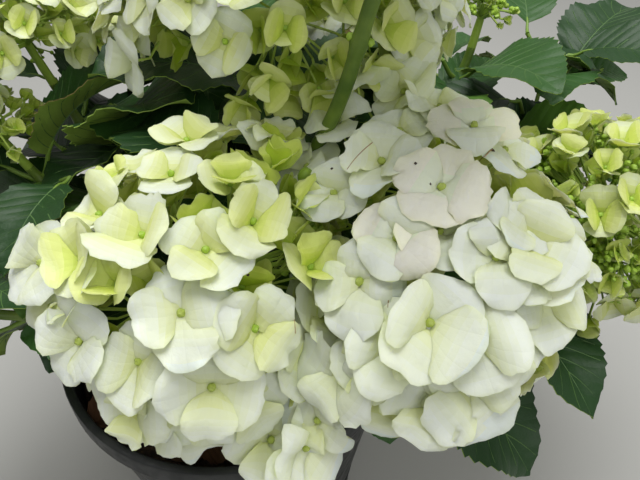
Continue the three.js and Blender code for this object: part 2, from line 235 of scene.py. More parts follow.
def tube(points, radii, sides):
    """A closed limb along some points: its corners, its faces' corners and their sizes."""
    points = np.asarray(points, float)
    ways = unit(np.gradient(points, axis=0))
    across = unit(np.cross(ways[0], SLANT_OF_LIMBS))
    turn = np.arange(sides) * FULL_TURN / sides
    rings = []
    for point, way, radius in zip(points, ways, np.broadcast_to(radii, len(points))):
        across = unit(across - way * (across @ way))
        side = np.cross(way, across)
        circle = np.outer(np.cos(turn), across) + np.outer(np.sin(turn), side)
        rings.append(point + radius * circle)
    count = len(points)
    start = (np.arange(count - 1) * sides)[:, None]
    a = start + np.arange(sides)
    b = start + (np.arange(sides) + 1) % sides
    walls = np.stack([a, b, b + sides, a + sides], -1).reshape(-1)
    last = np.arange(sides) + (count - 1) * sides
    corners = np.concatenate([walls, np.arange(sides)[::-1], last])
    sizes = np.array([4] * (sides * (count - 1)) + [sides, sides])
    return np.concatenate(rings), corners, sizes


def linear(red, green, blue):
    """A colour as seen on a screen, from 0 to 255, as the light that the sRGB curve gives it."""
    share = np.array([red, green, blue]) / 255
    light = np.where(share <= 0.04045, share / 12.92, ((share + 0.055) / 1.055) ** 2.4)
    return (*light, 1.0)


print("helpers ready")

# %% [markdown]
# Every finish is a set of nodes that work a pattern out, with no pictures. Each starts from the same
# shader, and a bump from noise gives the surface its grain.

# %% helpers for finishes
def new_finish(name, colour, roughness, **sockets):
    finish = bpy.data.materials.new(name)
    finish.use_nodes = True
    shader = finish.node_tree.nodes["Principled BSDF"]
    shader.inputs["Base Color"].default_value = colour
    shader.inputs["Roughness"].default_value = roughness
    for socket, value in sockets.items():
        shader.inputs[socket.replace("_", " ")].default_value = value
    return finish, finish.node_tree, shader


def node(tree, kind, **values):
    made = tree.nodes.new(kind)
    for name, value in values.items():
        if name in made.inputs:
            made.inputs[name].default_value = value
        else:
            setattr(made, name, value)
    return made


def noise(tree, scale, detail=3.0, stretch=(1, 1, 1)):
    """Noise over the object's own coordinates, drawn out along an axis if stretch says so."""
    place = node(tree, "ShaderNodeTexCoord")
    mapping = node(tree, "ShaderNodeMapping", Scale=stretch)
    made = node(tree, "ShaderNodeTexNoise", Scale=scale, Detail=detail)
    tree.links.new(place.outputs["Object"], mapping.inputs["Vector"])
    tree.links.new(mapping.outputs["Vector"], made.inputs["Vector"])
    return made.outputs["Fac"]


def maths(tree, operation, first, second=0.0):
    made = node(tree, "ShaderNodeMath", operation=operation)
    for socket, value in zip(made.inputs, (first, second)):
        if isinstance(value, (int, float)):
            socket.default_value = value
        else:
            tree.links.new(value, socket)
    return made.outputs[0]


def bump(tree, shader, height, strength, distance):
    made = node(tree, "ShaderNodeBump", Strength=strength, Distance=distance)
    tree.links.new(height, made.inputs["Height"])
    tree.links.new(made.outputs["Normal"], shader.inputs["Normal"])


def ramp(tree, factor, stops):
    made = node(tree, "ShaderNodeValToRGB")
    band = made.color_ramp
    while len(band.elements) < len(stops):
        band.elements.new(0.5)
    for element, (place, colour) in zip(band.elements, stops):
        element.position = place
        element.color = colour
    tree.links.new(factor, made.inputs["Fac"])
    return made.outputs["Color"]


def tint_by(tree, shader, pattern, stops):
    """Colours a finish by a pattern, from stops that are each a level and a colour."""
    shades = [(level, linear(*colour)) for level, colour in stops]
    tree.links.new(ramp(tree, pattern, shades), shader.inputs["Base Color"])


def plain_finishes(rows):
    """Finishes of one colour each, from rows of a name, a colour and a roughness."""
    return [new_finish(name, linear(*colour), roughness)[0] for name, colour, roughness in rows]


print("finish helpers ready")

# %% [markdown]
# The floor is plain and pale, wide enough that its edge never shows.

# %% floor
FLOOR_SIZE = 8

clear_selection()
bpy.ops.mesh.primitive_plane_add(size=FLOOR_SIZE, location=(0, 0, 0))
floor = bpy.context.active_object
floor.name = "floor"
floor.data.materials.append(new_finish("floor", linear(176, 176, 172), 0.9)[0])
floor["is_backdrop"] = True
print("floor is", round(floor.dimensions.x, 2), "m wide")

# %% [markdown]
# The stems repeat the plan that the solids were grown from, in metres and degrees. A stem leaves the
# mix at the bearing and radius of its foot, rises upright and ends along the axis of its head. A
# dome's radii run across the lean, along it and up, and it has a count of florets, their width and
# their age. Leaves stand in pairs, each pair given as its share of the stem, its bearing, its length
# and, in radians, how much steeper than usual it rises. The tall stem also has a joint that has lost
# its leaves.

# %% plan of the stems
STEMS = [
    dict(name="front_left", foot=(240, 0.046), head=(0.009, -0.099, 0.371), tilt=25, facing=262,
         radii=(0.073, 0.076, 0.057), florets=50, width=0.042, age=1.7,
         pairs=[(0.5, 352, 0.105, 0), (0.62, 262, 0.064, -0.1), (0.74, 178, 0.112, 0)]),
    dict(name="front_right", foot=(280, 0.046), head=(0.134, -0.096, 0.38), tilt=25, facing=272,
         radii=(0.074, 0.084, 0.06), florets=52, width=0.043, age=1.9,
         pairs=[(0.52, 20, 0.112, 0), (0.62, 280, 0.074, -0.1), (0.76, 320, 0.12, -0.15)]),
    dict(name="right", foot=(320, 0.046), head=(0.265, -0.015, 0.35), tilt=26, facing=350,
         radii=(0.063, 0.061, 0.05), florets=66, width=0.03, age=0.68,
         pairs=[(0.52, 330, 0.12, 0), (0.74, 275, 0.118, 0), (0.93, 240, 0.128, -0.25)]),
    dict(name="left", foot=(160, 0.046), head=(-0.146, 0.086, 0.442), tilt=15, facing=200,
         radii=(0.058, 0.056, 0.047), florets=76, width=0.029, age=0.85,
         pairs=[(0.5, 250, 0.118, 0), (0.68, 150, 0.12, 0), (0.84, 235, 0.105, 0)]),
    dict(name="low_left", foot=(180, 0.022), head=(-0.158, 0.033, 0.386), tilt=22, facing=190,
         radii=(0.028, 0.028, 0.025), florets=22, width=0.02, age=0.3,
         pairs=[(0.55, 105, 0.115, 0), (0.93, 17, 0.112, 0.6)]),
    dict(name="back", foot=(108, 0.022), head=(0.05, 0.05, 0.486), tilt=18, facing=275,
         radii=(0.1, 0.086, 0.064), florets=92, width=0.035, age=1.6,
         pairs=[(0.5, 150, 0.122, 0), (0.64, 60, 0.118, 0), (0.8, 205, 0.112, 0)]),
    dict(name="tall", foot=(252, 0.022), head=(0.122, -0.064, 0.6), tilt=16, facing=334,
         radii=(0.056, 0.056, 0.046), florets=34, width=0.04, age=1.9,
         through=[(0.079, -0.047, 0.441), (0.096, -0.053, 0.503)], bare_joint=0.795,
         pairs=[(0.47, 340, 0.1, 0), (0.95, 10, 0.084, 0.3)]),
    dict(name="bud", foot=(40, 0.046), head=(0.204, 0.146, 0.434), tilt=14, facing=40,
         radii=(0.023, 0.023, 0.02), florets=9, width=0.013, age=0.0,
         pairs=[(0.5, 20, 0.122, 0), (0.64, 290, 0.122, 0), (0.78, 15, 0.115, 0), (0.9, 110, 0.095, 0)]),
    dict(name="rear_left", foot=(120, 0.046), head=(-0.075, 0.215, 0.462), tilt=26, facing=115,
         radii=(0.072, 0.072, 0.056), florets=46, width=0.043, age=2.0,
         pairs=[(0.48, 200, 0.122, 0), (0.64, 110, 0.12, 0), (0.8, 190, 0.112, 0)]),
    dict(name="rear_right", foot=(36, 0.022), head=(0.112, 0.228, 0.4), tilt=32, facing=65,
         radii=(0.07, 0.07, 0.054), florets=46, width=0.043, age=1.9,
         pairs=[(0.5, 355, 0.122, 0), (0.66, 85, 0.118, 0), (0.82, 350, 0.11, 0)]),
    dict(name="side_left", foot=(200, 0.046), head=(-0.232, -0.05, 0.335), tilt=36, facing=195,
         radii=(0.07, 0.07, 0.054), florets=46, width=0.043, age=2.1,
         pairs=[(0.5, 165, 0.12, 0), (0.67, 212, 0.118, 0), (0.83, 150, 0.108, 0)]),
    dict(name="blind_right", foot=(0, 0.046), head=(0.205, 0.062, 0.33),
         pairs=[(0.5, 290, 0.12, 0), (0.66, 20, 0.122, 0), (0.82, 290, 0.115, 0), (0.97, 20, 0.1, 0)]),
    dict(name="blind_corner", foot=(324, 0.022), head=(0.278, 0.138, 0.38),
         pairs=[(0.55, 320, 0.122, 0), (0.72, 45, 0.12, 0), (0.86, 310, 0.115, 0), (0.98, 35, 0.095, 0.2)]),
    dict(name="blind_rear", foot=(80, 0.046), head=(0, 0.19, 0.33),
         pairs=[(0.55, 160, 0.12, 0), (0.78, 70, 0.122, 0), (0.97, 155, 0.1, 0)]),
]
flowering = [stem for stem in STEMS if "radii" in stem]
print("stems:", len(STEMS), "of them flowering:", len(flowering))

# %% [markdown]
# A stem is a line that is walked by its length. Most are a cubic curve with upright and in-line ends.
# The tall one runs through two points of its own, on a curve that is weighted by how far apart its
# points lie, so that it doesn't swing wide between them. Cane, shoot and head keep the small gap
# between them that the solids have.

# %% lines of the stems
SOIL_TOP = 0.211
SEAT = 0.0003
BEND = 0.35
UNDERSIDE = 0.62
STALK = 0.018
THROUGH_RISE = 0.4
STEPS_ALONG = 200
GOLDEN_ANGLE = math.pi * (3 - math.sqrt(5))
HAIR = 1e-4


class Line:
    """A curve that is walked by its length."""

    def __init__(self, point_at):
        self.point_at = point_at
        self.t = np.linspace(0, 1, STEPS_ALONG + 1)
        points = np.array([point_at(t) for t in self.t])
        steps = np.linalg.norm(np.diff(points, axis=0), axis=1)
        self.walked = np.concatenate([[0], np.cumsum(steps)])
        self.length = self.walked[-1]
        self.points = points

    def t_at(self, share):
        return float(np.interp(share * self.length, self.walked, self.t))

    def at(self, share):
        return self.point_at(self.t_at(share))

    def way(self, share):
        t = self.t_at(share)
        return unit(self.point_at(min(t + HAIR, 1)) - self.point_at(max(t - HAIR, 0)))


def cubic(a, b, c, d):
    def point_at(t):
        s = 1 - t
        return s**3 * a + 3 * s * s * t * b + 3 * s * t * t * c + t**3 * d

    return point_at


def through(points):
    """A curve through points, each stretch weighted by the root of its length."""
    ends = [2 * points[0] - points[1], *points, 2 * points[-1] - points[-2]]

    def point_at(t):
        spot = t * (len(points) - 1)
        k = min(int(spot), len(points) - 2)
        s = spot - k
        p0, p1, p2, p3 = ends[k : k + 4]
        d0, d1, d2 = (math.sqrt(np.linalg.norm(q - p)) for p, q in ((p0, p1), (p1, p2), (p2, p3)))
        out = d1 * ((p1 - p0) / d0 - (p2 - p0) / (d0 + d1) + (p2 - p1) / d1)
        into = d1 * ((p2 - p1) / d1 - (p3 - p1) / (d1 + d2) + (p3 - p2) / d2)
        square = 3 * (p2 - p1) - 2 * out - into
        cube = 2 * (p1 - p2) + out + into
        return p1 + out * s + square * s**2 + cube * s**3

    return point_at


def round_way(bearing):
    """The level way at a bearing in degrees."""
    return np.array([math.cos(math.radians(bearing)), math.sin(math.radians(bearing)), 0])


def axis_of(stem):
    """The way up through a head, tilted to the side that it faces."""
    tilt = math.radians(stem.get("tilt", 0))
    return math.sin(tilt) * round_way(stem.get("facing", 0)) + np.array([0, 0, math.cos(tilt)])


def ways_of(stem):
    """The ways to the side of a head, ahead along its lean, and up its axis."""
    up = axis_of(stem)
    facing = math.radians(stem["facing"])
    side = np.array([math.sin(facing), -math.cos(facing), 0])
    return np.array([side, np.cross(up, side), up])


def stem_line(stem):
    bearing, radius = stem["foot"]
    foot = radius * round_way(bearing) + np.array([0, 0, SOIL_TOP + SEAT])
    drop = UNDERSIDE * stem["radii"][2] + STALK if "radii" in stem else 0
    collar = np.array(stem["head"]) - drop * axis_of(stem)
    rise = np.array([0, 0, BEND * np.linalg.norm(collar - foot)])
    if "through" in stem:
        middle = [np.array(point) for point in stem["through"]]
        return Line(through([foot, foot + THROUGH_RISE * rise, *middle, collar]))
    return Line(cubic(foot, foot + rise, collar - rise[2] * axis_of(stem), collar))


for stem in STEMS:
    stem["line"] = stem_line(stem)
print("stem lengths, m:", [round(float(stem["line"].length), 3) for stem in STEMS])

# %% [markdown]
# Nursery pots are blown or moulded from black plastic: a thin tapering wall, a foot ring, a turned
# rim and a flat floor with drain holes. The wall is drawn ring by ring from one circle, up the
# outside and down the inside, as it would be spun.

# %% pot
POT_HEIGHT = 0.23
RIM_RADIUS = 0.14
FOOT_RADIUS = 0.104
LIP_OUT = 0.004
LIP_HEIGHT = 0.017
WALL = 0.0026
FLOOR_THICKNESS = 0.0032
FLOOR_HUB = 0.02
POT_SIDES = 96
LIP_BOTTOM = POT_HEIGHT - LIP_HEIGHT
PANEL_LOW, PANEL_HIGH, PANEL_IN, PANEL_STEP = 0.03, 0.175, 0.0008, 0.002
# Points of the foot ring, each as how far out from the foot's radius and how far up it is.
FOOT_RING = [(-0.006, 0), (0.0005, 0), (0.0015, 0.001), (0.0015, 0.006)]
FOOT_RING_TOP = 0.008
# Points of the lip from below, then of the rounded rim, each as how far in and how far up or down.
LIP_FLARE = 0.003
LIP_ROUNDING = [(0.001, 0), (0, 0.0012)]
RIM_ROUNDING = [(0, 0.0022), (0.0006, 0.0007), (0.002, 0)]
RIM_INSIDE = 0.001


def wall_radius(z):
    """The outside radius of the plain wall at a height."""
    return FOOT_RADIUS + (RIM_RADIUS - LIP_OUT - FOOT_RADIUS) * z / POT_HEIGHT


def spun(name, profile, sides):
    """A closed round piece from its profile, outside first, each ring extruded from the last."""
    clear_selection()
    radius, height = profile[0]
    bpy.ops.mesh.primitive_circle_add(
        vertices=sides, radius=radius, fill_type="NGON", location=(0, 0, height)
    )
    piece = bpy.context.active_object
    piece.name = name
    bpy.ops.object.transform_apply(location=True)
    open_for_editing(piece)
    bpy.ops.mesh.select_all(action="SELECT")
    for (was, low), (now, high) in zip(profile, profile[1:]):
        bpy.ops.mesh.extrude_region_move(TRANSFORM_OT_translate={"value": (0, 0, high - low)})
        share = now / was
        bpy.ops.transform.resize(value=(share, share, 1), center_override=(0, 0, high))
    bpy.ops.mesh.select_all(action="SELECT")
    bpy.ops.mesh.normals_make_consistent(inside=False)
    bpy.ops.object.mode_set(mode="OBJECT")
    return piece


pot_profile = [
    *[(FOOT_RADIUS + out, up) for out, up in FOOT_RING],
    (wall_radius(FOOT_RING_TOP), FOOT_RING_TOP),
    (wall_radius(PANEL_LOW), PANEL_LOW),
    (wall_radius(PANEL_LOW) - PANEL_IN, PANEL_LOW + PANEL_STEP),
    (wall_radius(PANEL_HIGH) - PANEL_IN, PANEL_HIGH),
    (wall_radius(PANEL_HIGH), PANEL_HIGH + PANEL_STEP),
    (wall_radius(LIP_BOTTOM - LIP_FLARE), LIP_BOTTOM - LIP_FLARE),
    *[(RIM_RADIUS - inward, LIP_BOTTOM + up) for inward, up in LIP_ROUNDING],
    *[(RIM_RADIUS - inward, POT_HEIGHT - down) for inward, down in RIM_ROUNDING],
    (wall_radius(POT_HEIGHT) - WALL + RIM_INSIDE, POT_HEIGHT),
    (wall_radius(POT_HEIGHT) - WALL, POT_HEIGHT - RIM_INSIDE),
    (wall_radius(FLOOR_THICKNESS) - WALL, FLOOR_THICKNESS),
    (FLOOR_HUB, FLOOR_THICKNESS),
]
pot = spun("nursery_pot", pot_profile, POT_SIDES)
print("pot faces:", len(pot.data.polygons))

# %% [markdown]
# The drain holes are round and lie between the middle of the floor and its edge. Each is cut by a
# drill four times as long as the floor is thick, so that it comes out well clear on both sides.

# %% drain holes
DRAIN_PITCH, DRAIN_RADIUS, DRAIN_COUNT, DRAIN_SIDES = 0.075, 0.007, 4, 24

for i in range(DRAIN_COUNT):
    clear_selection()
    place = DRAIN_PITCH * round_way(360 * (i + 0.5) / DRAIN_COUNT)
    bpy.ops.mesh.primitive_cylinder_add(
        vertices=DRAIN_SIDES, radius=DRAIN_RADIUS, depth=4 * FLOOR_THICKNESS, location=place
    )
    drill = bpy.context.active_object
    cut = pot.modifiers.new("drain", "BOOLEAN")
    cut.operation = "DIFFERENCE"
    cut.solver = "EXACT"
    cut.object = drill
    finish_modifiers(pot)
    bpy.data.objects.remove(drill)
smooth(pot, crease=28)
print("pot faces with its drain holes:", len(pot.data.polygons))

# %% [markdown]
# Black pot plastic is dull and a little scuffed, and a film of dried mix clings to it. Two sizes of
# noise roughen it, and a third decides where the film lies.

# %% pot finish
SHINY, SCUFFED = (0.34, 0.34, 0.34, 1), (0.62, 0.62, 0.62, 1)

black, tree, shader = new_finish("black_plastic", linear(26, 28, 29), 0.42)
tint_by(tree, shader, noise(tree, 38, 6), [(0.5, (24, 27, 28)), (0.72, (38, 40, 39))])
scuffs = ramp(tree, noise(tree, 90, 4), [(0.3, SHINY), (0.7, SCUFFED)])
tree.links.new(scuffs, shader.inputs["Roughness"])
bump(tree, shader, noise(tree, 900, 2), 0.25, 0.0003)
pot.data.materials.append(black)
hand_over(pot, ["pot"])
print("pot finish:", black.name)

# %% [markdown]
# The mix is peat and bark. Its bulk is spun like the pot, then its top is roughened by moving each
# ring's points a little, and crumbs and chips of bark are strewn on it.

# %% potting mix
MIX_DROP, MIX_PLATEAU, MIX_SHOULDER = 0.007, 0.062, 0.3
MIX_EDGE = SOIL_TOP - MIX_DROP
MIX_RINGS = 22
MIX_FOOT = 0.02


def mix_inside(z):
    return wall_radius(z) - WALL - 2 * SEAT


def mix_height(radius):
    """The top of the mix: level over its plateau, then falling to the wall."""
    outer = mix_inside(MIX_EDGE)
    middle = (MIX_PLATEAU + outer) / 2
    shoulder = SOIL_TOP - MIX_SHOULDER * MIX_DROP
    return np.interp(radius, [MIX_PLATEAU, middle, outer], [SOIL_TOP, shoulder, MIX_EDGE])


mix_base = FLOOR_THICKNESS + SEAT
mix_profile = [(mix_inside(mix_base) - MIX_FOOT, mix_base), (mix_inside(mix_base), mix_base)]
for ring in range(MIX_RINGS):
    radius = mix_inside(MIX_EDGE) * (1 - ring / MIX_RINGS)
    mix_profile.append((radius, float(mix_height(radius))))
mix = spun("potting_mix", mix_profile, POT_SIDES)
print("mix faces:", len(mix.data.polygons))

# %% roughen the mix
LUMPS_HIGH, LUMPS_MIDDLE, LUMPS_LOW = 0.0012, 0.0009, 0.0006
LUMPS_LOWERED = 0.0012
EDGE_KEPT = 0.001


def lumps(x, y):
    """A small uneven height, from three waves that never line up."""
    return (
        LUMPS_HIGH * np.sin(310 * x + 2 * np.sin(170 * y))
        + LUMPS_MIDDLE * np.sin(420 * y + 3 * np.sin(230 * x))
        + LUMPS_LOW * np.sin(900 * x + 700 * y)
    )


for point in mix.data.vertices:
    radius = math.hypot(point.co.x, point.co.y)
    if point.co.z > MIX_EDGE - EDGE_KEPT and radius < mix_inside(MIX_EDGE) - EDGE_KEPT:
        point.co.z += lumps(point.co.x, point.co.y) - LUMPS_LOWERED
peat, tree, shader = new_finish("peat", linear(44, 31, 24), 0.95)
peat_shades = [(0.3, (22, 16, 13)), (0.55, (48, 34, 25)), (0.75, (84, 62, 44))]
tint_by(tree, shader, noise(tree, 240, 8), peat_shades)
bump(tree, shader, noise(tree, 420, 8), 0.9, 0.0016)
mix.data.materials.append(peat)
smooth(mix, crease=60)
hand_over(mix, ["soil"])
print("top of the mix, mm:", round(1000 * max(point.co.z for point in mix.data.vertices), 1))

# %% [markdown]
# One crumb is modelled, an uneven little ball. It is strewn all over the mix, each copy stretched,
# knobbed and turned in its own way, and most of them are small and dark.

# %% crumbs and bark chips on the mix
CRUMB_SEED = 11
CRUMBS = 1500
CRUMB_INSET = 0.006
CRUMB_LEAST, CRUMB_MORE = 0.0009, 0.0026
# How long, wide and high a crumb is: the least share of its size and how much may come to it.
CRUMB_STRETCH = [(1, 1.6), (0.6, 0.5), (0.4, 0.4)]
CRUMB_KNOBS = (0.8, 1.2)
CRUMB_SHARES = [0.55, 0.35, 0.1]
CRUMB_PROUD = 0.3
crumb_finishes = plain_finishes([
    ("crumb_dark", (34, 24, 18), 0.95),
    ("crumb_brown", (74, 50, 34), 0.9),
    ("crumb_pale", (120, 92, 66), 0.9),
])
clear_selection()
bpy.ops.mesh.primitive_ico_sphere_add(subdivisions=1, radius=1)
crumb = Shape(bpy.context.active_object)
rng = np.random.default_rng(CRUMB_SEED)
crumbs = Gathering()
for _ in range(CRUMBS):
    radius = (mix_inside(MIX_EDGE) - CRUMB_INSET) * math.sqrt(rng.random())
    bearing = rng.random() * FULL_TURN
    x, y = radius * math.cos(bearing), radius * math.sin(bearing)
    size = CRUMB_LEAST + CRUMB_MORE * rng.random() ** 3
    stretch = size * np.array([least + more * rng.random() for least, more in CRUMB_STRETCH])
    knobbly = crumb.co * stretch * rng.uniform(*CRUMB_KNOBS, (len(crumb.co), 1))
    spin = rng.random() * math.pi
    ahead, aside = math.cos(spin), math.sin(spin)
    turned = knobbly @ np.array([[ahead, aside, 0], [-aside, ahead, 0], [0, 0, 1]])
    height = mix_height(radius) + lumps(x, y) - LUMPS_LOWERED + CRUMB_PROUD * stretch[2]
    tint = rng.choice(len(CRUMB_SHARES), p=CRUMB_SHARES)
    crumbs.add(turned + [x, y, height], crumb.corners, crumb.sizes, tint)
crumbs.piece("mix_crumbs", crumb_finishes, "potting_mix", [], crease=30)

# %% [markdown]
# The canes are last year's wood: brown-grey bark that splits in shallow grooves, with a ring of
# leaf scars at each joint. Each is a tube with many rings, whose radius swells at the foot and the
# joints and is grooved along its length.

# %% canes
CANE_FOOT, CANE_FLARE = 0.0082, 0.016
CANE_LOW, CANE_HIGH = 0.0056, 0.0044
CANE_SHARE = 0.4
CANE_SIDES, CANE_RINGS = 20, 60
JOINT_SPACING, JOINT_SHIFT = 0.034, 0.011
JOINT_SWELL, JOINT_LENGTH = 0.13, 0.0022
GROOVES, GROOVE_CLIMB, GROOVE_DEPTH = 5, 60, 0.05
CRACKS, CRACK_CLIMB = 3, 140

canes = Gathering()
for number, stem in enumerate(STEMS):
    line = stem["line"]
    shares = np.linspace(0, CANE_SHARE, CANE_RINGS)
    walked = shares * line.length
    radii = CANE_LOW + (CANE_HIGH - CANE_LOW) * shares / CANE_SHARE
    radii = radii + (CANE_FOOT - CANE_LOW) * np.exp(-walked / CANE_FLARE)
    joint = (walked + JOINT_SHIFT * number) % JOINT_SPACING - JOINT_SPACING / 2
    radii = radii * (1 + JOINT_SWELL * np.exp(-((joint / JOINT_LENGTH) ** 2)))
    co, corners, sizes = tube([line.at(s) for s in shares], radii, CANE_SIDES)
    centre = np.repeat([line.at(s) for s in shares], CANE_SIDES, axis=0)
    around = np.tile(np.arange(CANE_SIDES), CANE_RINGS) * FULL_TURN / CANE_SIDES
    along = np.repeat(walked, CANE_SIDES)
    groove = np.sin(GROOVES * around + GROOVE_CLIMB * along + number)
    groove = groove * np.sin(CRACKS * around - CRACK_CLIMB * along)
    co = centre + (co - centre) * (1 + GROOVE_DEPTH * groove)[:, None]
    canes.add(co, corners, sizes, 0)

bark, tree, shader = new_finish("bark", linear(112, 96, 70), 0.85)
streaks = noise(tree, 260, 6, stretch=(1, 1, 0.16))
tint_by(tree, shader, streaks, [(0.3, (66, 54, 38)), (0.5, (112, 98, 70)), (0.72, (150, 138, 104))])
bump(tree, shader, streaks, 0.7, 0.0012)
canes.piece("bark_canes", [bark], "cane", [f"cane_{stem['name']}" for stem in STEMS], crease=60)

# %% [markdown]
# A hydrangea leaf is broad and pointed, toothed like a saw whose teeth lean to the tip, and its blade
# bulges between its side veins. One flat leaf is modelled in two finenesses, for the main leaves and
# for those of the side shoots: a grid whose rows are drawn in to the outline, a shallow and a deep
# row for each tooth, then given its thickness.

# %% one flat leaf
TOOTH_LEAN = 0.78
TOOTH_DEPTH = 0.038
LEAF_THICKNESS = 0.005
LEAF_TIP = 0.004
LEAF_BREADTH, LEAF_FULLNESS = 0.35, 0.8


def half_width(share):
    """Half the blade's width, as a share of its length."""
    return LEAF_BREADTH * np.sin(np.pi * np.clip(share, 0, 1) ** LEAF_FULLNESS) ** LEAF_FULLNESS


def flat_leaf(columns, teeth):
    """A leaf one unit long, level, with its stalk's end at the origin and its tip ahead."""
    rows = [0.0]
    for tooth in range(teeth):
        rows += [(tooth + TOOTH_LEAN) / teeth, (tooth + 1) / teeth]
    last = len(rows) - 1
    clear_selection()
    bpy.ops.mesh.primitive_grid_add(x_subdivisions=columns, y_subdivisions=last, size=2)
    piece = bpy.context.active_object
    open_for_editing(piece)
    for row, share in enumerate(rows):
        level = -1 + 2 * row / last
        pick_points(piece, lambda co: abs(co.y - level) < HAIR and abs(co.z) < HAIR)
        tooth_out = 1 + TOOTH_DEPTH * (1 if row % 2 else -1) * (0 < row < last)
        width = max(float(half_width(share)) * tooth_out, LEAF_TIP)
        bpy.ops.transform.resize(value=(width, 1, 1), center_override=(0, level, 0))
        bpy.ops.transform.translate(value=(0, share - level, 1))
    bpy.ops.object.mode_set(mode="OBJECT")
    for point in piece.data.vertices:
        point.co.z -= 1
    shell = piece.modifiers.new("thickness", "SOLIDIFY")
    shell.thickness = LEAF_THICKNESS
    shell.offset = 0
    finish_modifiers(piece)
    return Shape(piece)


main_leaf = flat_leaf(columns=8, teeth=18)
side_leaf = flat_leaf(columns=6, teeth=12)
print("leaf faces:", len(main_leaf.sizes), "and", len(side_leaf.sizes))

# %% [markdown]
# The veins are a pattern of their own: a midrib and pairs of side veins that bow towards the tip.
# They are thin tapering limbs laid in the same flat leaf, so that they bend with it and show on both
# of its faces. All sizes are shares of the leaf's length.

# %% its veins
MIDRIB_END, MIDRIB_RADII = 0.97, (0.0095, 0.0034)
VEINS_FROM, VEINS_OVER = 0.06, 0.76
VEIN_RUN, VEIN_END, VEIN_OUT, VEIN_BOW = 0.2, 0.96, 0.86, 0.3
VEIN_RADII = (0.0054, 0.0034)


def flat_veins(pairs, steps, sides):
    """A leaf's midrib and side veins as one shape, as flat as its blade."""
    midrib_places = [(0, y, 0) for y in np.linspace(0, MIDRIB_END, 2 * steps)]
    ribs = [(midrib_places, np.linspace(*MIDRIB_RADII, 2 * steps))]
    for k in range(pairs):
        start = VEINS_FROM + VEINS_OVER * k / pairs
        end = min(start + VEIN_RUN, VEIN_END)
        out = VEIN_OUT * float(half_width(end))
        for side in (-1, 1):
            t = np.linspace(0, 1, steps)
            y = start + (end - start) * ((1 - VEIN_BOW) * t + VEIN_BOW * t * t)
            rib = [(side * out * a, b, 0) for a, b in zip(t, y)]
            ribs.append((rib, np.linspace(*VEIN_RADII, steps)))
    veins = Gathering()
    for rib, radii in ribs:
        veins.add(*tube(rib, radii, sides), 0)
    return np.concatenate(veins.co), np.concatenate(veins.corners), np.concatenate(veins.sizes)


main_veins = flat_veins(pairs=8, steps=6, sides=4)
side_veins = flat_veins(pairs=6, steps=4, sides=3)
print("vein faces:", len(main_veins[2]), "and", len(side_veins[2]))

# %% [markdown]
# Where each leaf stands follows the source's rule. A pair's two leaves draw their small differences
# from the stem's own seed, and of the few ways that a leaf may grow, the one that the solid took is
# known by its tip, because the solid has a corner there.

# %% how the leaves stand
LEAF_SEED = 200
PETIOLE = 0.024
RISE, ARCH, LEAN_DROP, FOLD = 0.52, 0.95, 0.6, 0.26
VARY_HEADING, VARY_RISE, VARY_ARCH, VARY_SIZE, VARY_ROLL = 0.3, 0.2, 0.4, 0.16, 0.5
TRIES = [
    (0, 0, 1), (0.3, 0.1, 1), (-0.3, 0.1, 1), (0, -0.3, 0.95), (0, 0.35, 0.95),
    (0.6, -0.1, 0.9), (-0.6, -0.1, 0.9), (0.35, -0.45, 0.85), (-0.35, -0.45, 0.85),
]
TIP_MATCH = 0.0005
DICE_FACTOR, DICE_STEP, DICE_RANGE = 1664525, 1013904223, 2**32


def dice(seed):
    """A small seeded generator, the same as the source's."""
    state = seed

    def throw():
        nonlocal state
        state = (state * DICE_FACTOR + DICE_STEP) % DICE_RANGE
        return state / DICE_RANGE

    return throw


def leaf_ways(line, pair, throw):
    """The two leaves of a pair, each as the few ways that it may grow."""
    share, bearing, length, lift = pair
    way = line.way(share)
    lean = math.acos(max(-1, min(1, way[2])))
    lean_bearing = math.atan2(way[1], way[0])
    found = []
    for half in (0, 180):
        heading = math.radians(bearing + half) + VARY_HEADING * (throw() - 0.5)
        tipped = LEAN_DROP * lean * math.cos(heading - lean_bearing)
        rise = RISE + lift - tipped + VARY_RISE * (throw() - 0.5)
        arch = ARCH * (1 + VARY_ARCH * (throw() - 0.5))
        size = length * (1 + VARY_SIZE * (throw() - 0.5))
        roll = VARY_ROLL * (throw() - 0.5)
        found.append([
            dict(root=line.at(share), heading=heading + aside, rise=rise + up, arch=arch,
                 length=size * shrink, roll=roll)
            for aside, up, shrink in TRIES
        ])
    return found


def midrib(leaf, share):
    """Places along a leaf's midrib, and its ways along, across and up there."""
    share = np.atleast_1d(share)[:, None]
    petiole = leaf.get("petiole", PETIOLE)
    slope = leaf["rise"] - leaf["arch"] * share
    run = leaf["length"] / leaf["arch"]
    out = petiole * math.cos(leaf["rise"]) + run * (math.sin(leaf["rise"]) - np.sin(slope))
    up = petiole * math.sin(leaf["rise"]) + run * (np.cos(slope) - math.cos(leaf["rise"]))
    ahead = np.array([math.cos(leaf["heading"]), math.sin(leaf["heading"]), 0])
    top = np.array([0, 0, 1.0])
    along = ahead * np.cos(slope) + top * np.sin(slope)
    level = np.broadcast_to(np.cross(top, ahead), along.shape)
    across = level * math.cos(leaf["roll"]) + np.cross(along, level) * math.sin(leaf["roll"])
    return leaf["root"] + ahead * out + top * up, along, across, np.cross(along, across)


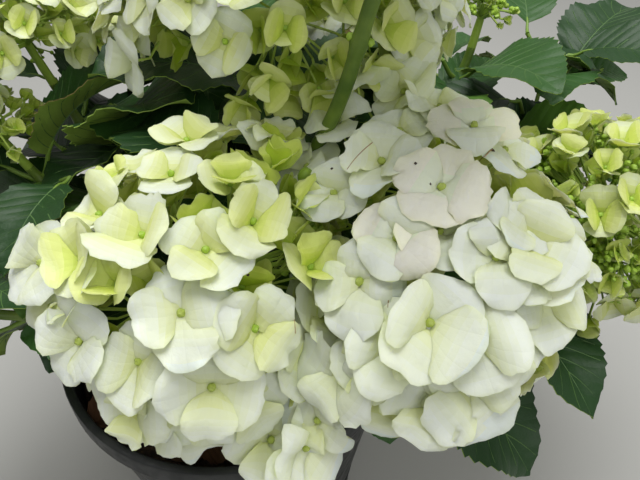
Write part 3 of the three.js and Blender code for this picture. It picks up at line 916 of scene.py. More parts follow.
leaves = []
for number, stem in enumerate(STEMS):
    throw = dice(LEAF_SEED + number)
    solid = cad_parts[f"leaves_{stem['name']}"]
    corners = np.array([v.co for v in solid.data.vertices])
    for order, pair in enumerate(stem["pairs"]):
        for half, ways in enumerate(leaf_ways(stem["line"], pair, throw)):
            for leaf in ways:
                tip = midrib(leaf, 1)[0]
                if np.linalg.norm(corners - tip, axis=1).min() < TIP_MATCH:
                    leaves.append(dict(leaf, stem=stem["name"], spot=(order, half)))
                    break
print("leaves grown:", len(leaves), "of", 2 * sum(len(stem["pairs"]) for stem in STEMS))

# %% [markdown]
# Side shoots carry the source's rule on to finer twigs. One may start on either side of each joint,
# between its two leaves, and it ends in a pair of smaller leaves. It is only grown where its leaves
# have room: inside the crown, clear of the heads, of every stem and of the leaves that are there.
# None grows forward over the rim of the pot, which shows under the two heads in front, and none in
# front of the one leaf whose right half has folded up.

# %% room for a leaf
# The folded leaf, by its stem and its place on it, and how steeply its two halves stand. No other
# leaf comes nearer than KEPT_CLEAR to the lines from it towards the camera.
FOLDED = {("low_left", (1, 0)): (0.4, 0.68)}
KEPT_CLEAR, CLEAR_FAR, CLEAR_STEP = 0.018, 0.12, 0.01
ROOM_FROM_LEAF, ROOM_FROM_STEM, ROOM_FROM_HEAD = 0.006, 0.007, 1.05
FOREMOST = -0.11
INSIDE_CROWN, ABOVE_RIM = 0.003, 0.004
STEM_STRIDE = 6
SAMPLE_SHARES, SAMPLE_OUT = np.array([0.12, 0.3, 0.5, 0.7, 0.88, 1.0]), 0.7


def samples(leaf):
    """Places all over a leaf, by which its room is judged."""
    point, _, across, _ = midrib(leaf, SAMPLE_SHARES)
    out = (SAMPLE_OUT * half_width(SAMPLE_SHARES) * leaf["length"])[:, None]
    return np.concatenate([point, point + out * across, point - out * across])


def nearest(points, others):
    """How near two sets of points come to each other."""
    return np.linalg.norm(points[:, None] - others[None], axis=2).min()


seen = np.concatenate([samples(leaf) for leaf in leaves if (leaf["stem"], leaf["spot"]) in FOLDED])
sight = unit(np.array(CAMERA_PLACE) - seen)
steps_out = np.arange(CLEAR_STEP, CLEAR_FAR, CLEAR_STEP)
before_it = np.concatenate([seen + far * sight for far in steps_out])
crown_low, crown_high = np.array(cad_low) + INSIDE_CROWN, np.array(cad_high) - INSIDE_CROWN


def has_room(points, taken):
    if (points < crown_low).any() or (points > crown_high).any():
        return False
    if points[:, 2].min() < POT_HEIGHT + ABOVE_RIM or points[:, 1].min() < FOREMOST:
        return False
    for head in flowering:
        local = (points - np.array(head["head"])) @ ways_of(head).T / np.array(head["radii"])
        if np.linalg.norm(local, axis=1).min() < ROOM_FROM_HEAD:
            return False
    for stem in STEMS:
        if nearest(points, stem["line"].points[::STEM_STRIDE]) < ROOM_FROM_STEM:
            return False
    return nearest(points, before_it) >= KEPT_CLEAR and nearest(points, taken) > ROOM_FROM_LEAF


print("places kept clear before the folded leaf:", len(before_it))

# %% [markdown]
# A twig leaves its joint at a steep slant and has two leaves splayed at its end. A few are tried at
# each place, and the first that has room for a leaf is kept.

# %% side shoots
TWIG_SEED = 500
LOWEST_JOINT = 0.43
TWIG_LENGTH = (0.03, 0.055)
TWIG_SWING = 30
TWIG_RISE = (0.35, 0.95)
SIDE_LEAF = (0.07, 0.102)
SIDE_PETIOLE = 0.012
SIDE_SPLAY, SIDE_RISE, SIDE_ARCH, SIDE_ROLL = (0.5, 1.3), (0.1, 0.55), (0.7, 1.2), (-0.3, 0.3)
TRIES_FOR_ROOM = 12


def twig_way(bearing, rng):
    """The way that a twig grows near a bearing, and its heading."""
    heading = math.radians(bearing + rng.normal(0, TWIG_SWING))
    rise = rng.uniform(*TWIG_RISE)
    way = math.cos(rise) * round_way(math.degrees(heading)) + np.array([0, 0, math.sin(rise)])
    return way, heading


def twig_leaf(end, heading, turn, rng):
    """One of the two leaves at a twig's end, turned to one side of the twig or the other."""
    return dict(
        root=end, heading=heading + turn * rng.uniform(*SIDE_SPLAY), rise=rng.uniform(*SIDE_RISE),
        arch=rng.uniform(*SIDE_ARCH), length=rng.uniform(*SIDE_LEAF), roll=rng.uniform(*SIDE_ROLL),
        petiole=SIDE_PETIOLE,
    )


twigs, side_leaves = [], []
taken = np.concatenate([samples(leaf) for leaf in leaves])
for number, stem in enumerate(STEMS):
    rng = np.random.default_rng(TWIG_SEED + number)
    joints = [(LOWEST_JOINT, stem["pairs"][0][1] + 90)] + [pair[:2] for pair in stem["pairs"]]
    for share, bearing in joints:
        root = stem["line"].at(share)
        for half in (90, 270):
            for _ in range(TRIES_FOR_ROOM):
                way, heading = twig_way(bearing + half, rng)
                end = root + rng.uniform(*TWIG_LENGTH) * way
                grown = []
                for turn in (-1, 1):
                    leaf = twig_leaf(end, heading, turn, rng)
                    everywhere = samples(leaf)
                    if has_room(everywhere, taken):
                        taken = np.concatenate([taken, everywhere])
                        grown.append(leaf)
                if grown:
                    twigs.append((root, end))
                    side_leaves += grown
                    break
print("side shoots:", len(twigs), "with leaves:", len(side_leaves))

# %% [markdown]
# Most leaves are deep green and some are fresher, the underside is always paler, and here and there
# a margin has turned brown. Each of those colours is a finish of its own. They share one bump: the
# blade is quilted, because it bulges between its side veins.

# %% leaf finishes
LEAF_TINTS = [
    ("leaf_deep", linear(32, 62, 28)),
    ("leaf_mid", linear(46, 82, 34)),
    ("leaf_fresh", linear(76, 112, 42)),
]
BACK = len(LEAF_TINTS)
VEIN = BACK + 1
RUST = BACK + 2
QUILT_SLANT, QUILT_ROWS, QUILT_GRAIN = 0.62, 33, 0.6


def leaf_finish(name, colour, roughness, quilt):
    finish, tree, shader = new_finish(name, colour, roughness, Specular_IOR_Level=0.3)
    place = node(tree, "ShaderNodeUVMap", uv_map="shape")
    parts = node(tree, "ShaderNodeSeparateXYZ")
    tree.links.new(place.outputs["UV"], parts.inputs["Vector"])
    out = maths(tree, "MULTIPLY", maths(tree, "ABSOLUTE", parts.outputs["X"]), QUILT_SLANT)
    rows = maths(tree, "MULTIPLY", maths(tree, "SUBTRACT", parts.outputs["Y"], out), QUILT_ROWS)
    bulge = maths(tree, "ABSOLUTE", maths(tree, "SINE", rows))
    grain = maths(tree, "MULTIPLY", noise(tree, 520, 4), QUILT_GRAIN)
    bump(tree, shader, maths(tree, "ADD", bulge, grain), quilt, 0.0012)
    return finish


leaf_finishes = [leaf_finish(name, colour, 0.46, 0.3) for name, colour in LEAF_TINTS]
leaf_finishes.append(leaf_finish("leaf_back", linear(132, 158, 70), 0.7, 0.3))
leaf_finishes.append(new_finish("leaf_vein", linear(72, 104, 50), 0.6)[0])
leaf_finishes.append(leaf_finish("leaf_rust", linear(104, 92, 48), 0.75, 0.3))
print("leaf finishes:", len(leaf_finishes))

# %% [markdown]
# Laying a leaf out bends the flat one along its midrib, folds it a little on the midrib like a
# shallow roof turned over, and ruffles its margin. A lattice or a curve could bend one leaf by hand,
# but numbers bend nearly two hundred. The colours are dealt out leaf by leaf and face by face.

# %% lay a leaf out
LEAST_WIDTH = 0.02
RUFFLES = 3.1
TINT_SHARES = [0.52, 0.36, 0.12]
UPPER_SIDE = 0.3
FOLDED_RUST = 0.9
RUSTY_SHARE, RUST_EDGE, RUST_DEPTH, RUST_PATCHES = 0.14, 0.93, 0.1, 9


def edge_share(x, y):
    """How far out to the margin a place on the flat leaf is."""
    return np.abs(x) / np.maximum(half_width(y), LEAST_WIDTH)


def lay_out(leaf, flat, thick, fold, ruffle, phase):
    """Points of the flat leaf, moved to where this leaf has them. Left is the side where x is less."""
    x, y, z = flat.T
    point, _, across, face = midrib(leaf, y)
    out = np.abs(x) * leaf["length"]
    left, right = fold
    side = np.where(np.abs(x) > 1e-6, np.sign(x), 0)
    turn = np.where(x < 0, left, right) * np.abs(side)
    wave = ruffle * leaf["length"] * edge_share(x, y) ** 2
    wave = wave * np.sin(FULL_TURN * (RUFFLES * y + phase) + side)
    level, steep = np.cos(turn)[:, None], np.sin(turn)[:, None]
    outward = face * steep - across * side[:, None] * level
    upward = face * level + across * side[:, None] * steep
    return point + outward * out[:, None] + upward * (wave + thick * z)[:, None]


def leaf_tints(shape, folded, rng):
    """A tint for each face of one leaf."""
    tint = int(rng.choice(len(TINT_SHARES), p=TINT_SHARES))
    tints = np.where(shape.normals[:, 2] > UPPER_SIDE, tint, BACK)
    x, y = shape.middles[:, 0], shape.middles[:, 1]
    edge = edge_share(x, y)
    if folded:
        tints[(edge > FOLDED_RUST) & (x > 0)] = RUST
    if rng.random() < RUSTY_SHARE:
        patch = np.sin(RUST_PATCHES * y + FULL_TURN * rng.random()) * np.sign(x)
        tints[(edge > RUST_EDGE - RUST_DEPTH * patch) & (patch > RUST_DEPTH)] = RUST
    return tints


print("shares of the leaf colours:", TINT_SHARES)

# %% [markdown]
# All the blades of a bunch of leaves become one piece and all their veins another. The blades stand
# for the solids of the leafy shoots.

# %% grow the leaves
RUFFLE_SEED = 23
RUFFLE_LEAST, RUFFLE_MORE = 0.012, 0.016
BLADE_THINNER = 0.9
leaf_nodes = [f"leaves_{stem['name']}" for stem in STEMS]


def grow(bunch, shape, veins, names, rng):
    """One piece of all the blades of a bunch of leaves, and one of their veins."""
    blades, ribs = Gathering(), Gathering()
    for leaf in bunch:
        ruffle = RUFFLE_LEAST + RUFFLE_MORE * rng.random()
        phase = rng.random()
        spot = (leaf.get("stem"), leaf.get("spot"))
        fold = FOLDED.get(spot, (FOLD, FOLD))
        co = lay_out(leaf, shape.co, BLADE_THINNER * leaf["length"], fold, ruffle, phase)
        blades.add(co, shape.corners, shape.sizes, leaf_tints(shape, spot in FOLDED, rng), shape.uv)
        co = lay_out(leaf, veins[0], leaf["length"], fold, ruffle, phase)
        ribs.add(co, veins[1], veins[2], VEIN)
    blades.piece(names[0], leaf_finishes, "foliage", leaf_nodes, crease=45)
    ribs.piece(names[1], leaf_finishes, "foliage", [], crease=60)


rng = np.random.default_rng(RUFFLE_SEED)
grow(leaves, main_leaf, main_veins, ("leaf_blades", "leaf_veins"), rng)
grow(side_leaves, side_leaf, side_veins, ("side_leaf_blades", "side_leaf_veins"), rng)

# %% [markdown]
# Last year's leaves lie on the mix where they fell: brown, dry, curled along the midrib and crumpled.
# They are the side shoots' flat leaf again, curled much harder and laid down one by one.

# %% dead leaves on the mix
# Each is the place of its middle on the mix, its bearing and its length.
LITTER = [
    (-0.076, -0.078, 40, 0.056), (-0.092, -0.056, 110, 0.042), (0.004, -0.106, 5, 0.05),
    (0.028, -0.104, 160, 0.04), (0.07, 0.06, 60, 0.055), (-0.03, 0.09, 200, 0.05),
]
litter_finishes = [
    leaf_finish("dead_leaf", linear(120, 82, 52), 0.85, 0.5),
    leaf_finish("dead_leaf_dark", linear(78, 52, 34), 0.85, 0.5),
]
LITTER_SEED = 31
LITTER_CURL, LITTER_CURL_VARIES = 0.55, (0.6, 1.2)
CRUMPLE, CRUMPLES = 0.07, 11
LITTER_LIFT = 0.0045

rng = np.random.default_rng(LITTER_SEED)
litter = Gathering()
for x, y, bearing, length in LITTER:
    across, along = -side_leaf.co[:, 0] * length, (side_leaf.co[:, 1] - 0.5) * length
    curl = LITTER_CURL * rng.uniform(*LITTER_CURL_VARIES) * np.abs(side_leaf.co[:, 0]) * length
    crumple = CRUMPLE * length * np.sin(CRUMPLES * side_leaf.co[:, 1] + FULL_TURN * rng.random())
    lying = curl + crumple + side_leaf.co[:, 2] * length
    heading = math.radians(bearing)
    co = np.stack([
        x + along * math.cos(heading) - across * math.sin(heading),
        y + along * math.sin(heading) + across * math.cos(heading),
        mix_height(math.hypot(x, y)) + LITTER_LIFT + lying,
    ], -1)
    litter.add(co, side_leaf.corners, side_leaf.sizes, rng.integers(2), side_leaf.uv)
litter.piece("dead_leaves", litter_finishes, "potting_mix", [], crease=45)

# %% [markdown]
# The shoots are this year's growth: smooth, round and green, thicker at each joint, where the two
# leaf stalks clasp it. The stalks are part of the same piece, since they never part from the shoot
# while the leaf lives.

# %% shoots and leaf stalks
SHOOT_LOW, SHOOT_HIGH = 0.0044, 0.0036
SHOOT_SIDES, SHOOT_RINGS = 14, 48
SHOOT_SWELL, SHOOT_JOINT = 0.32, 0.004
TWIG_SAG, TWIG_RADII = np.array([0, 0, 0.003]), [0.0024, 0.002, 0.0017]
STALK_SAG, STALK_SIDES = np.array([0, 0, -0.0012]), 8
STALK_RADII = np.array([0.0027, 0.0021, 0.0018, 0.0017, 0.0015, 0.0008])
# Where a stalk bends below its leaf, where it runs on under the midrib, and how deep it ends there.
STALK_BENDS, ON_MIDRIB, STALK_SUNK = (0.34, 0.7), [0, 0.05, 0.14], 0.0006
SIDE_STALK = 0.7

shoots = Gathering()
for stem in STEMS:
    line = stem["line"]
    gap = SEAT / line.length
    shares = np.linspace(CANE_SHARE + gap, 1 - gap, SHOOT_RINGS)
    radii = np.interp(shares, [CANE_SHARE, 1], [SHOOT_LOW, SHOOT_HIGH])
    joints = [pair[0] for pair in stem["pairs"]]
    if "bare_joint" in stem:
        joints.append(stem["bare_joint"])
    for share in joints:
        away = (shares - share) * line.length / SHOOT_JOINT
        radii = radii * (1 + SHOOT_SWELL * np.exp(-(away**2)))
    shoots.add(*tube([line.at(s) for s in shares], radii, SHOOT_SIDES), 0)
for root, end in twigs:
    middle = (root + end) / 2 - TWIG_SAG
    shoots.add(*tube([root, middle, end], TWIG_RADII, STALK_SIDES), 1)
for leaf in leaves + side_leaves:
    point, _, _, face = midrib(leaf, ON_MIDRIB)
    start = leaf["root"]
    bends = [start + share * (point[0] - start) + STALK_SAG for share in STALK_BENDS]
    path = [start, *bends, *point]
    path[-1] = path[-1] - face[2] * STALK_SUNK
    stout = SIDE_STALK if "petiole" in leaf else 1
    shoots.add(*tube(path, stout * STALK_RADII, STALK_SIDES), 1)

green, tree, shader = new_finish("green_shoot", linear(96, 124, 40), 0.45)
tint_by(tree, shader, noise(tree, 60, 4), [(0.35, (70, 98, 26)), (0.7, (108, 132, 46))])
bump(tree, shader, noise(tree, 700, 3, stretch=(1, 1, 0.3)), 0.3, 0.0005)
stalk, tree, shader = new_finish("leaf_stalk", linear(110, 140, 52), 0.5)
bump(tree, shader, noise(tree, 700, 3), 0.2, 0.0004)
shoots.piece("green_shoots", [green, stalk], "foliage", leaf_nodes, crease=60)

# %% [markdown]
# A sepal is broad, blunt and thin as paper. One flat sepal is modelled in two finenesses, one for
# the two big heads in front and one for the rest. A grid is rounded to a disc, its near half is
# drawn in to a claw, and it gets a second side. Both sides are closed along one thin margin, so that
# no blunt rim shows.

# %% one flat sepal
SEPAL_THICKNESS = 0.014
CLAW, BREADTH = 0.4, 0.6
CLAW_REACH, CLAW_FULLNESS = 0.7, 0.8
MARGIN = 0.99
FINER = 3


def sepal_breadth(height):
    """How broad the sepal is at a height of its disc, from -1 at the claw to 1 at the tip."""
    share = np.clip((height + 1) / CLAW_REACH, 0, 1)
    return CLAW + (BREADTH - CLAW) * share**CLAW_FULLNESS


def between(count):
    """Weights that lay two more points between each two of a row of points."""
    places = np.linspace(0, count - 1, FINER * (count - 1) + 1)
    return np.maximum(0, 1 - np.abs(places[:, None] - np.arange(count)))


def on_margin(co):
    height = 2 * co.y - 1
    return math.hypot(co.x / float(sepal_breadth(height)), height) > MARGIN


def flat_sepal(columns, rows):
    """A sepal one unit long, closed on both sides, which also keeps the one sheet it was made from."""
    clear_selection()
    bpy.ops.mesh.primitive_grid_add(x_subdivisions=columns, y_subdivisions=rows, size=2)
    piece = bpy.context.active_object
    points = sorted(piece.data.vertices, key=lambda point: (round(point.co.y, 3), point.co.x))
    order = [point.index for point in points]
    for point in piece.data.vertices:
        aside, height = point.co.x, point.co.y
        out = aside * math.sqrt(1 - height**2 / 2)
        height = height * math.sqrt(1 - aside**2 / 2)
        point.co.x = out * float(sepal_breadth(height))
        point.co.y = (1 + height) / 2
    flat = np.array([piece.data.vertices[i].co for i in order])
    shell = piece.modifiers.new("thickness", "SOLIDIFY")
    shell.thickness = SEPAL_THICKNESS
    shell.offset = 0
    finish_modifiers(piece)
    open_for_editing(piece)
    pick_points(piece, on_margin)
    bpy.ops.transform.resize(value=(1, 1, 0), center_override=(0, 0, 0))
    bpy.ops.mesh.remove_doubles(threshold=SEPAL_THICKNESS / 4)
    bpy.ops.object.mode_set(mode="OBJECT")
    shape = Shape(piece)
    gaps = np.linalg.norm(shape.co[:, None, :2] - flat[None, :, :2], axis=2)
    shape.cell = gaps.argmin(axis=1)
    shape.flat, shape.rows, shape.columns = flat, rows + 1, columns + 1
    shape.more_rows, shape.more_columns = between(rows + 1), between(columns + 1)
    return shape


fine_sepal = flat_sepal(columns=8, rows=7)
plain_sepal = flat_sepal(columns=5, rows=4)
print("sepal faces:", len(fine_sepal.sizes), "and", len(plain_sepal.sizes))

# %% [markdown]
# A floret opens lime green and cupped, pales through cream to white as it spreads, and at last
# turns cream and papery. So one number, its age from 0 to 3, gives its shape and its colours. The
# colours are plain ones, in small steps from lime to white, dealt out by floret and by how far from
# its throat a face is.

# %% colours of the sepals
LIME_TO_WHITE = [
    (0, (160, 190, 42)), (3, (196, 214, 80)), (6, (216, 226, 122)),
    (9, (226, 234, 158)), (12, (232, 240, 192)), (15, (239, 246, 220)),
]
WHITE = 15
# The next colour after white is a shaded copy of the white, painted shade, and then comes the papery cream.
PAINTED_SHADE_WHITE, PAPERY = WHITE + 1, WHITE + 2
CLAW_FAN, FAN_VEINS, VEIN_SOFTNESS = 0.4, 13, 0.4
CRINKLE = 7


def sepal_finish(name, colour):
    """A finish that lets some light through, with a fan of fine veins and a crinkle."""
    finish, tree, shader = new_finish(
        name, colour, 0.6,
        Subsurface_Weight=0.5, Subsurface_Radius=(1, 0.95, 0.5), Subsurface_Scale=0.004,
    )
    place = node(tree, "ShaderNodeUVMap", uv_map="shape")
    parts = node(tree, "ShaderNodeSeparateXYZ")
    tree.links.new(place.outputs["UV"], parts.inputs["Vector"])
    from_claw = maths(tree, "ADD", parts.outputs["Y"], CLAW_FAN)
    fan = maths(tree, "DIVIDE", parts.outputs["X"], from_claw)
    waves = maths(tree, "SINE", maths(tree, "MULTIPLY", fan, FAN_VEINS))
    veins = maths(tree, "POWER", maths(tree, "ABSOLUTE", waves), VEIN_SOFTNESS)
    crinkle = maths(tree, "MULTIPLY", noise(tree, 110, 6), CRINKLE)
    bump(tree, shader, maths(tree, "ADD", veins, crinkle), 0.2, 0.0006)
    return finish


sepal_finishes = []
known_steps, known_colours = zip(*LIME_TO_WHITE)
for step in range(WHITE + 1):
    colour = [np.interp(step, known_steps, channel) for channel in zip(*known_colours)]
    sepal_finishes.append(sepal_finish(f"sepal_step_{step:02d}", linear(*colour)))
# A shaded copy of the sepals' white: painted shade.
sepal_finishes.append(sepal_finish("sepal_painted_shade", linear(232, 243, 224)))
sepal_finishes.append(sepal_finish("sepal_papery", linear(243, 240, 208)))
print("sepal colours:", len(sepal_finishes))

# %% [markdown]
# Florets crowd each other, so each one gives way to what lies below it. A head keeps a map of how far
# out it already reaches in each direction. A new floret is lifted clear of the map at its middle, and
# then each of its sepals is draped over what lies below, as a thin sheet would. This is quicker than
# a cloth simulation and seldom leaves two sepals cutting through each other.

# %% how far a head reaches
MAP_CELLS, MAP_SPAN = 128, 1.9
LAYER_GAP = 0.008
MOST_LIFT, MOST_SHIFT = 0.1, 0.2
GIVES_UP = 3
MAP_FLOOR = 0.2


def windows(amounts):
    """The nine neighbours of each number in a table."""
    wide = np.pad(amounts, 1, mode="edge")
    rows, columns = amounts.shape
    return [wide[a : a + rows, b : b + columns] for a in range(3) for b in range(3)]


class Cover:
    """How far out a head reaches in each direction, on a flat map of its dome."""

    def __init__(self, stem):
        self.head, self.ways = np.array(stem["head"]), ways_of(stem)
        self.radii = np.array(stem["radii"])
        self.reach = np.zeros((MAP_CELLS + 2, MAP_CELLS + 2))

    def where(self, points):
        """The map's cell that each point is in, and its share of the dome's radius."""
        local = (points - self.head) @ self.ways.T / self.radii
        reach = np.linalg.norm(local, axis=-1)
        spot = local / reach[..., None]
        flat = spot[..., :2] * np.sqrt(2 / np.maximum(1 + spot[..., 2:], MAP_FLOOR))
        cell = ((flat / MAP_SPAN + 1) / 2 * MAP_CELLS).astype(int)
        return np.clip(cell, 0, MAP_CELLS - 1) + 1, reach

    def lift(self, points, most=MOST_LIFT):
        """How much further out points have to go to clear what is there, unless that is too far."""
        cell, reach = self.where(points)
        row, column = cell[..., 0], cell[..., 1]
        near = [self.reach[row + a, column + b] for a in (-1, 0, 1) for b in (-1, 0, 1)]
        need = np.maximum(np.max(near, axis=0) + LAYER_GAP - reach, 0)
        past = np.maximum(need - most, 0)
        return np.minimum(need, most) * np.exp(-GIVES_UP * past / most)

    def drape(self, sheet, hold):
        """A sepal's sheet, laid over what is there already, but held where hold is 0."""
        need = np.max(windows(self.lift(sheet)), axis=0)
        need = np.mean(windows(need), axis=0) * hold
        reach = self.where(sheet)[1]
        return self.head + (sheet - self.head) * (1 + need / reach)[..., None]

    def add(self, shape, sheet):
        """Marks on the map how far out a sepal's sheet reaches."""
        fine = np.einsum("ar,rck,bc->abk", shape.more_rows, sheet, shape.more_columns)
        cell, reach = self.where(fine.reshape(-1, 3))
        np.maximum.at(self.reach, (cell[:, 0], cell[:, 1]), reach)


print("map cells:", MAP_CELLS**2)

# %% [markdown]
# Four sepals make a floret: an outer pair, and an inner pair across it that is a little smaller and
# younger. Each has its own outline, with a swelling here, a point or a notch there, its own dish and
# its own wavy margin, because no two sepals of a head are alike.

# %% one floret
OLDEST = 3
AGES = [0, 0.5, 1, 1.5, 2, OLDEST]
BASE_RISE = [1.0, 0.75, 0.44, 0.29, 0.2, 0.12]
BASE_CURL = [0.3, 0.1, -0.1, -0.22, -0.28, -0.26]
BASE_DISH = [0.26, 0.2, 0.14, 0.08, 0.04, 0.02]
THROAT_STEP = [0, 1.5, 4, 6, 9.5, 12.5]
BLADE_STEP = [3.4, 7.6, 12.6, 14.8, 15.4, 15.4]
MIDDLE = 0.55
# Each row is a number of swellings round the margin and how strong they are.
LOBES = [(2, 0.05), (3, 0.04), (5, 0.022)]
TIP_VARIES, TIP_NARROW = 0.05, 0.33
NOTCHED_SHARE, NOTCH = 0.18, 0.17
RAGGED = 0.024
POINTED, FRINGED = 0.055, 2.4
CLAW_STEADY = 0.3
RISE_VARIES, CURL_VARIES, DISH_VARIES, TWIST_VARIES = 0.09, 0.14, 0.045, 0.09
WAVES, WAVE_HEIGHTS = (2, 7), (0.01, 0.04)
BROADER = (0.9, 1.12)


def sepal_sheet(shape, floret, bearing, age, size, rng):
    """The middle sheet of one sepal, in rows of points, before it meets its neighbours."""
    x, y = shape.flat[:, 0], shape.flat[:, 1]
    away = np.hypot(x / BREADTH, (y - MIDDLE) / (1 - MIDDLE))
    turn = np.arctan2(x, y - MIDDLE)
    tip = rng.normal(0, TIP_VARIES) - (NOTCH if rng.random() < NOTCHED_SHARE else 0)
    swell = tip * np.exp(-((turn / TIP_NARROW) ** 2))
    for lobes, amount in LOBES:
        swell = swell + rng.normal(0, amount) * np.cos(lobes * turn + FULL_TURN * rng.random())
    ragged = rng.normal(0, RAGGED, len(x)) * away**4 * (FRINGED if tip > POINTED else 1)
    stretch = 1 + (swell * away**2 + ragged) * np.clip(y / CLAW_STEADY, 0, 1)
    x, y = x * stretch, MIDDLE + (y - MIDDLE) * stretch
    rise = np.interp(age, AGES, BASE_RISE) + rng.normal(0, RISE_VARIES)
    curl = np.interp(age, AGES, BASE_CURL) + rng.normal(0, CURL_VARIES)
    dish = np.interp(age, AGES, BASE_DISH) + rng.normal(0, DISH_VARIES)
    wide = x / BREADTH
    slope = rise + curl * y / 2
    up = y * np.sin(slope) + (dish * wide**2 + rng.normal(0, TWIST_VARIES) * wide) * y
    for waves in rng.integers(*WAVES, 2):
        height = rng.uniform(*WAVE_HEIGHTS)
        up = up + height * np.sin(waves * turn + FULL_TURN * rng.random()) * away**3
    ahead = floret["across"] * math.cos(bearing) + floret["side"] * math.sin(bearing)
    level = np.cross(ahead, floret["normal"])
    broad = size * rng.uniform(*BROADER)
    sheet = np.outer(size * y * np.cos(slope), ahead) + np.outer(broad * x, level)
    sheet = floret["point"] + sheet + np.outer(size * up, floret["normal"])
    return sheet.reshape(shape.rows, shape.columns, 3)


print("ages that the shape of a sepal is given for:", AGES)

# %% [markdown]
# A sepal's faces take their colour from its age and from how far from the throat they are. Its
# underside is some steps greener and darker, partly its own colour and partly painted shade. The
# second pair of sepals is smaller and younger. Once a floret has found its place,
# each sheet gets its thickness, about that of thin card.

# %% colours and thickness of a sepal
BLADE_VARIES = (-0.8, 0.4)
THROAT_SPREAD = 1.5
# How many steps greener and darker a sepal's underside is: partly its own colour, partly painted shade.
GREENER_AND_SHADED_BELOW = 3
PAPERY_AGE = 2.6
SEPAL_TURN_VARIES, SEPAL_AGE_VARIES, SEPAL_SIZE_VARIES = 0.1, 0.1, (0.92, 1.08)
# Each sepal as its quarter of a turn, its share of the floret's size and how much younger it is.
SEPALS = [(0, 1.05, 0), (2, 1.0, 0), (1, 0.95, 0.25), (3, 0.88, 0.3)]
NEAR_SHARE = 80
HELD_TO = 0.4


def sepal_tints(shape, age, floret, rng):
    throat = np.interp(age, AGES, THROAT_STEP)
    blade = np.interp(age, AGES, BLADE_STEP) + rng.uniform(*BLADE_VARIES)
    out = np.clip(shape.middles[:, 1], 0, 1)
    steps = blade - (blade - throat) * (1 - out) ** THROAT_SPREAD
    # The underside drops some steps towards lime: partly its own greener colour, partly painted shade.
    steps = steps - GREENER_AND_SHADED_BELOW * (shape.normals[:, 2] < 0)
    steps = np.clip(np.floor(steps + 0.5), 0, WHITE).astype(int)
    # On some florets the white faces take the shaded copy of white instead: painted shade.
    if rng.random() < floret["shade_share"]:
        steps[steps == WHITE] = PAINTED_SHADE_WHITE
    if age > PAPERY_AGE:
        steps[steps >= WHITE - 1] = PAPERY
    return steps


def thickened(shape, sheet, size):
    """A sepal's corners, on both sides of its sheet."""
    face = np.cross(np.gradient(sheet, axis=1), np.gradient(sheet, axis=0)).reshape(-1, 3)
    face = face / np.maximum(np.linalg.norm(face, axis=1, keepdims=True), 1e-12)
    away = (size * shape.co[:, 2])[:, None]
    return sheet.reshape(-1, 3)[shape.cell] + face[shape.cell] * away


def add_floret(sepals, cover, shape, floret, rng):
    """Shapes a floret's four sepals, lifts it clear of what is there and drapes them one by one."""
    sheets = []
    for quarter, grown, younger in SEPALS:
        bearing = floret["turn"] + math.pi / 2 * quarter + rng.normal(0, SEPAL_TURN_VARIES)
        age = floret["age"] - younger + rng.normal(0, SEPAL_AGE_VARIES)
        age = float(np.clip(age, 0, OLDEST))
        size = floret["width"] / 2 * grown * rng.uniform(*SEPAL_SIZE_VARIES)
        sheet = sepal_sheet(shape, floret, bearing, age, size, rng)
        sheets.append((sheet, size, sepal_tints(shape, age, floret, rng)))
    near = np.concatenate([sheet[: shape.rows // 2].reshape(-1, 3) for sheet, *_ in sheets])
    rise = np.percentile(cover.lift(near, MOST_SHIFT), NEAR_SHARE)
    shift = rise * (floret["point"] - cover.head)
    floret["point"] = floret["point"] + shift
    hold = np.clip(shape.flat[:, 1] / HELD_TO, 0, 1).reshape(shape.rows, shape.columns)
    for sheet, size, tints in sheets:
        sheet = cover.drape(sheet + shift, hold)
        cover.add(shape, sheet)
        sepals.add(thickened(shape, sheet, size), shape.corners, shape.sizes, tints, shape.uv)


print("a finer floret has", len(SEPALS) * len(fine_sepal.sizes), "faces")

# %% [markdown]
# A head is a dome of florets that crowd each other to an even spacing. They start on a spiral, those
# that are given stay put, and the others push apart over a few rounds. The middle of the
# dome isn't solid: a second, sparser layer of florets below the first closes it, as on the plant.

# %% places on a head
HEAD_REACH = 1.95
PUSH_ROUNDS = 30
PUSH_STEP = 0.0016


def on_ball(polar, bearing):
    """Directions from the middle of a dome, by their angle from its crown and from its lean."""
    return np.stack(
        [np.sin(polar) * np.sin(bearing), np.sin(polar) * np.cos(bearing), np.cos(polar)], -1
    )


def direction(polar, bearing):
    """One such direction, from angles in degrees."""
    return on_ball(math.radians(polar), math.radians(bearing))


def spread_spots(count, fixed, lowest, rng):
    """Directions from the middle of a head, evenly apart from each other and from fixed ones."""
    share = (np.arange(count) + 0.5) / count
    polar = np.arccos(1 - (1 - math.cos(lowest)) * share)
    free = on_ball(polar, np.arange(count) * GOLDEN_ANGLE + rng.random() * FULL_TURN)
    for _ in range(PUSH_ROUNDS):
        everyone = np.concatenate([free, fixed]) if len(fixed) else free
        gaps = free[:, None] - everyone[None]
        far = np.linalg.norm(gaps, axis=2) + 1e-6
        push = gaps / far[..., None] ** 3
        push[far < 1e-5] = 0
        free = unit(free + PUSH_STEP * push.sum(1))
        low = free[:, 2] < math.cos(lowest)
        free[low, 2] = math.cos(lowest)
        free = unit(free)
    return free


def place_on_dome(stem, spot, reach):
    """The point of a head's dome in a direction, and the way out there."""
    ways, radii = ways_of(stem), np.array(stem["radii"])
    point = np.array(stem["head"]) + reach * (spot * radii) @ ways
    return point, unit((spot / radii) @ ways)


print("rounds of pushing:", PUSH_ROUNDS)
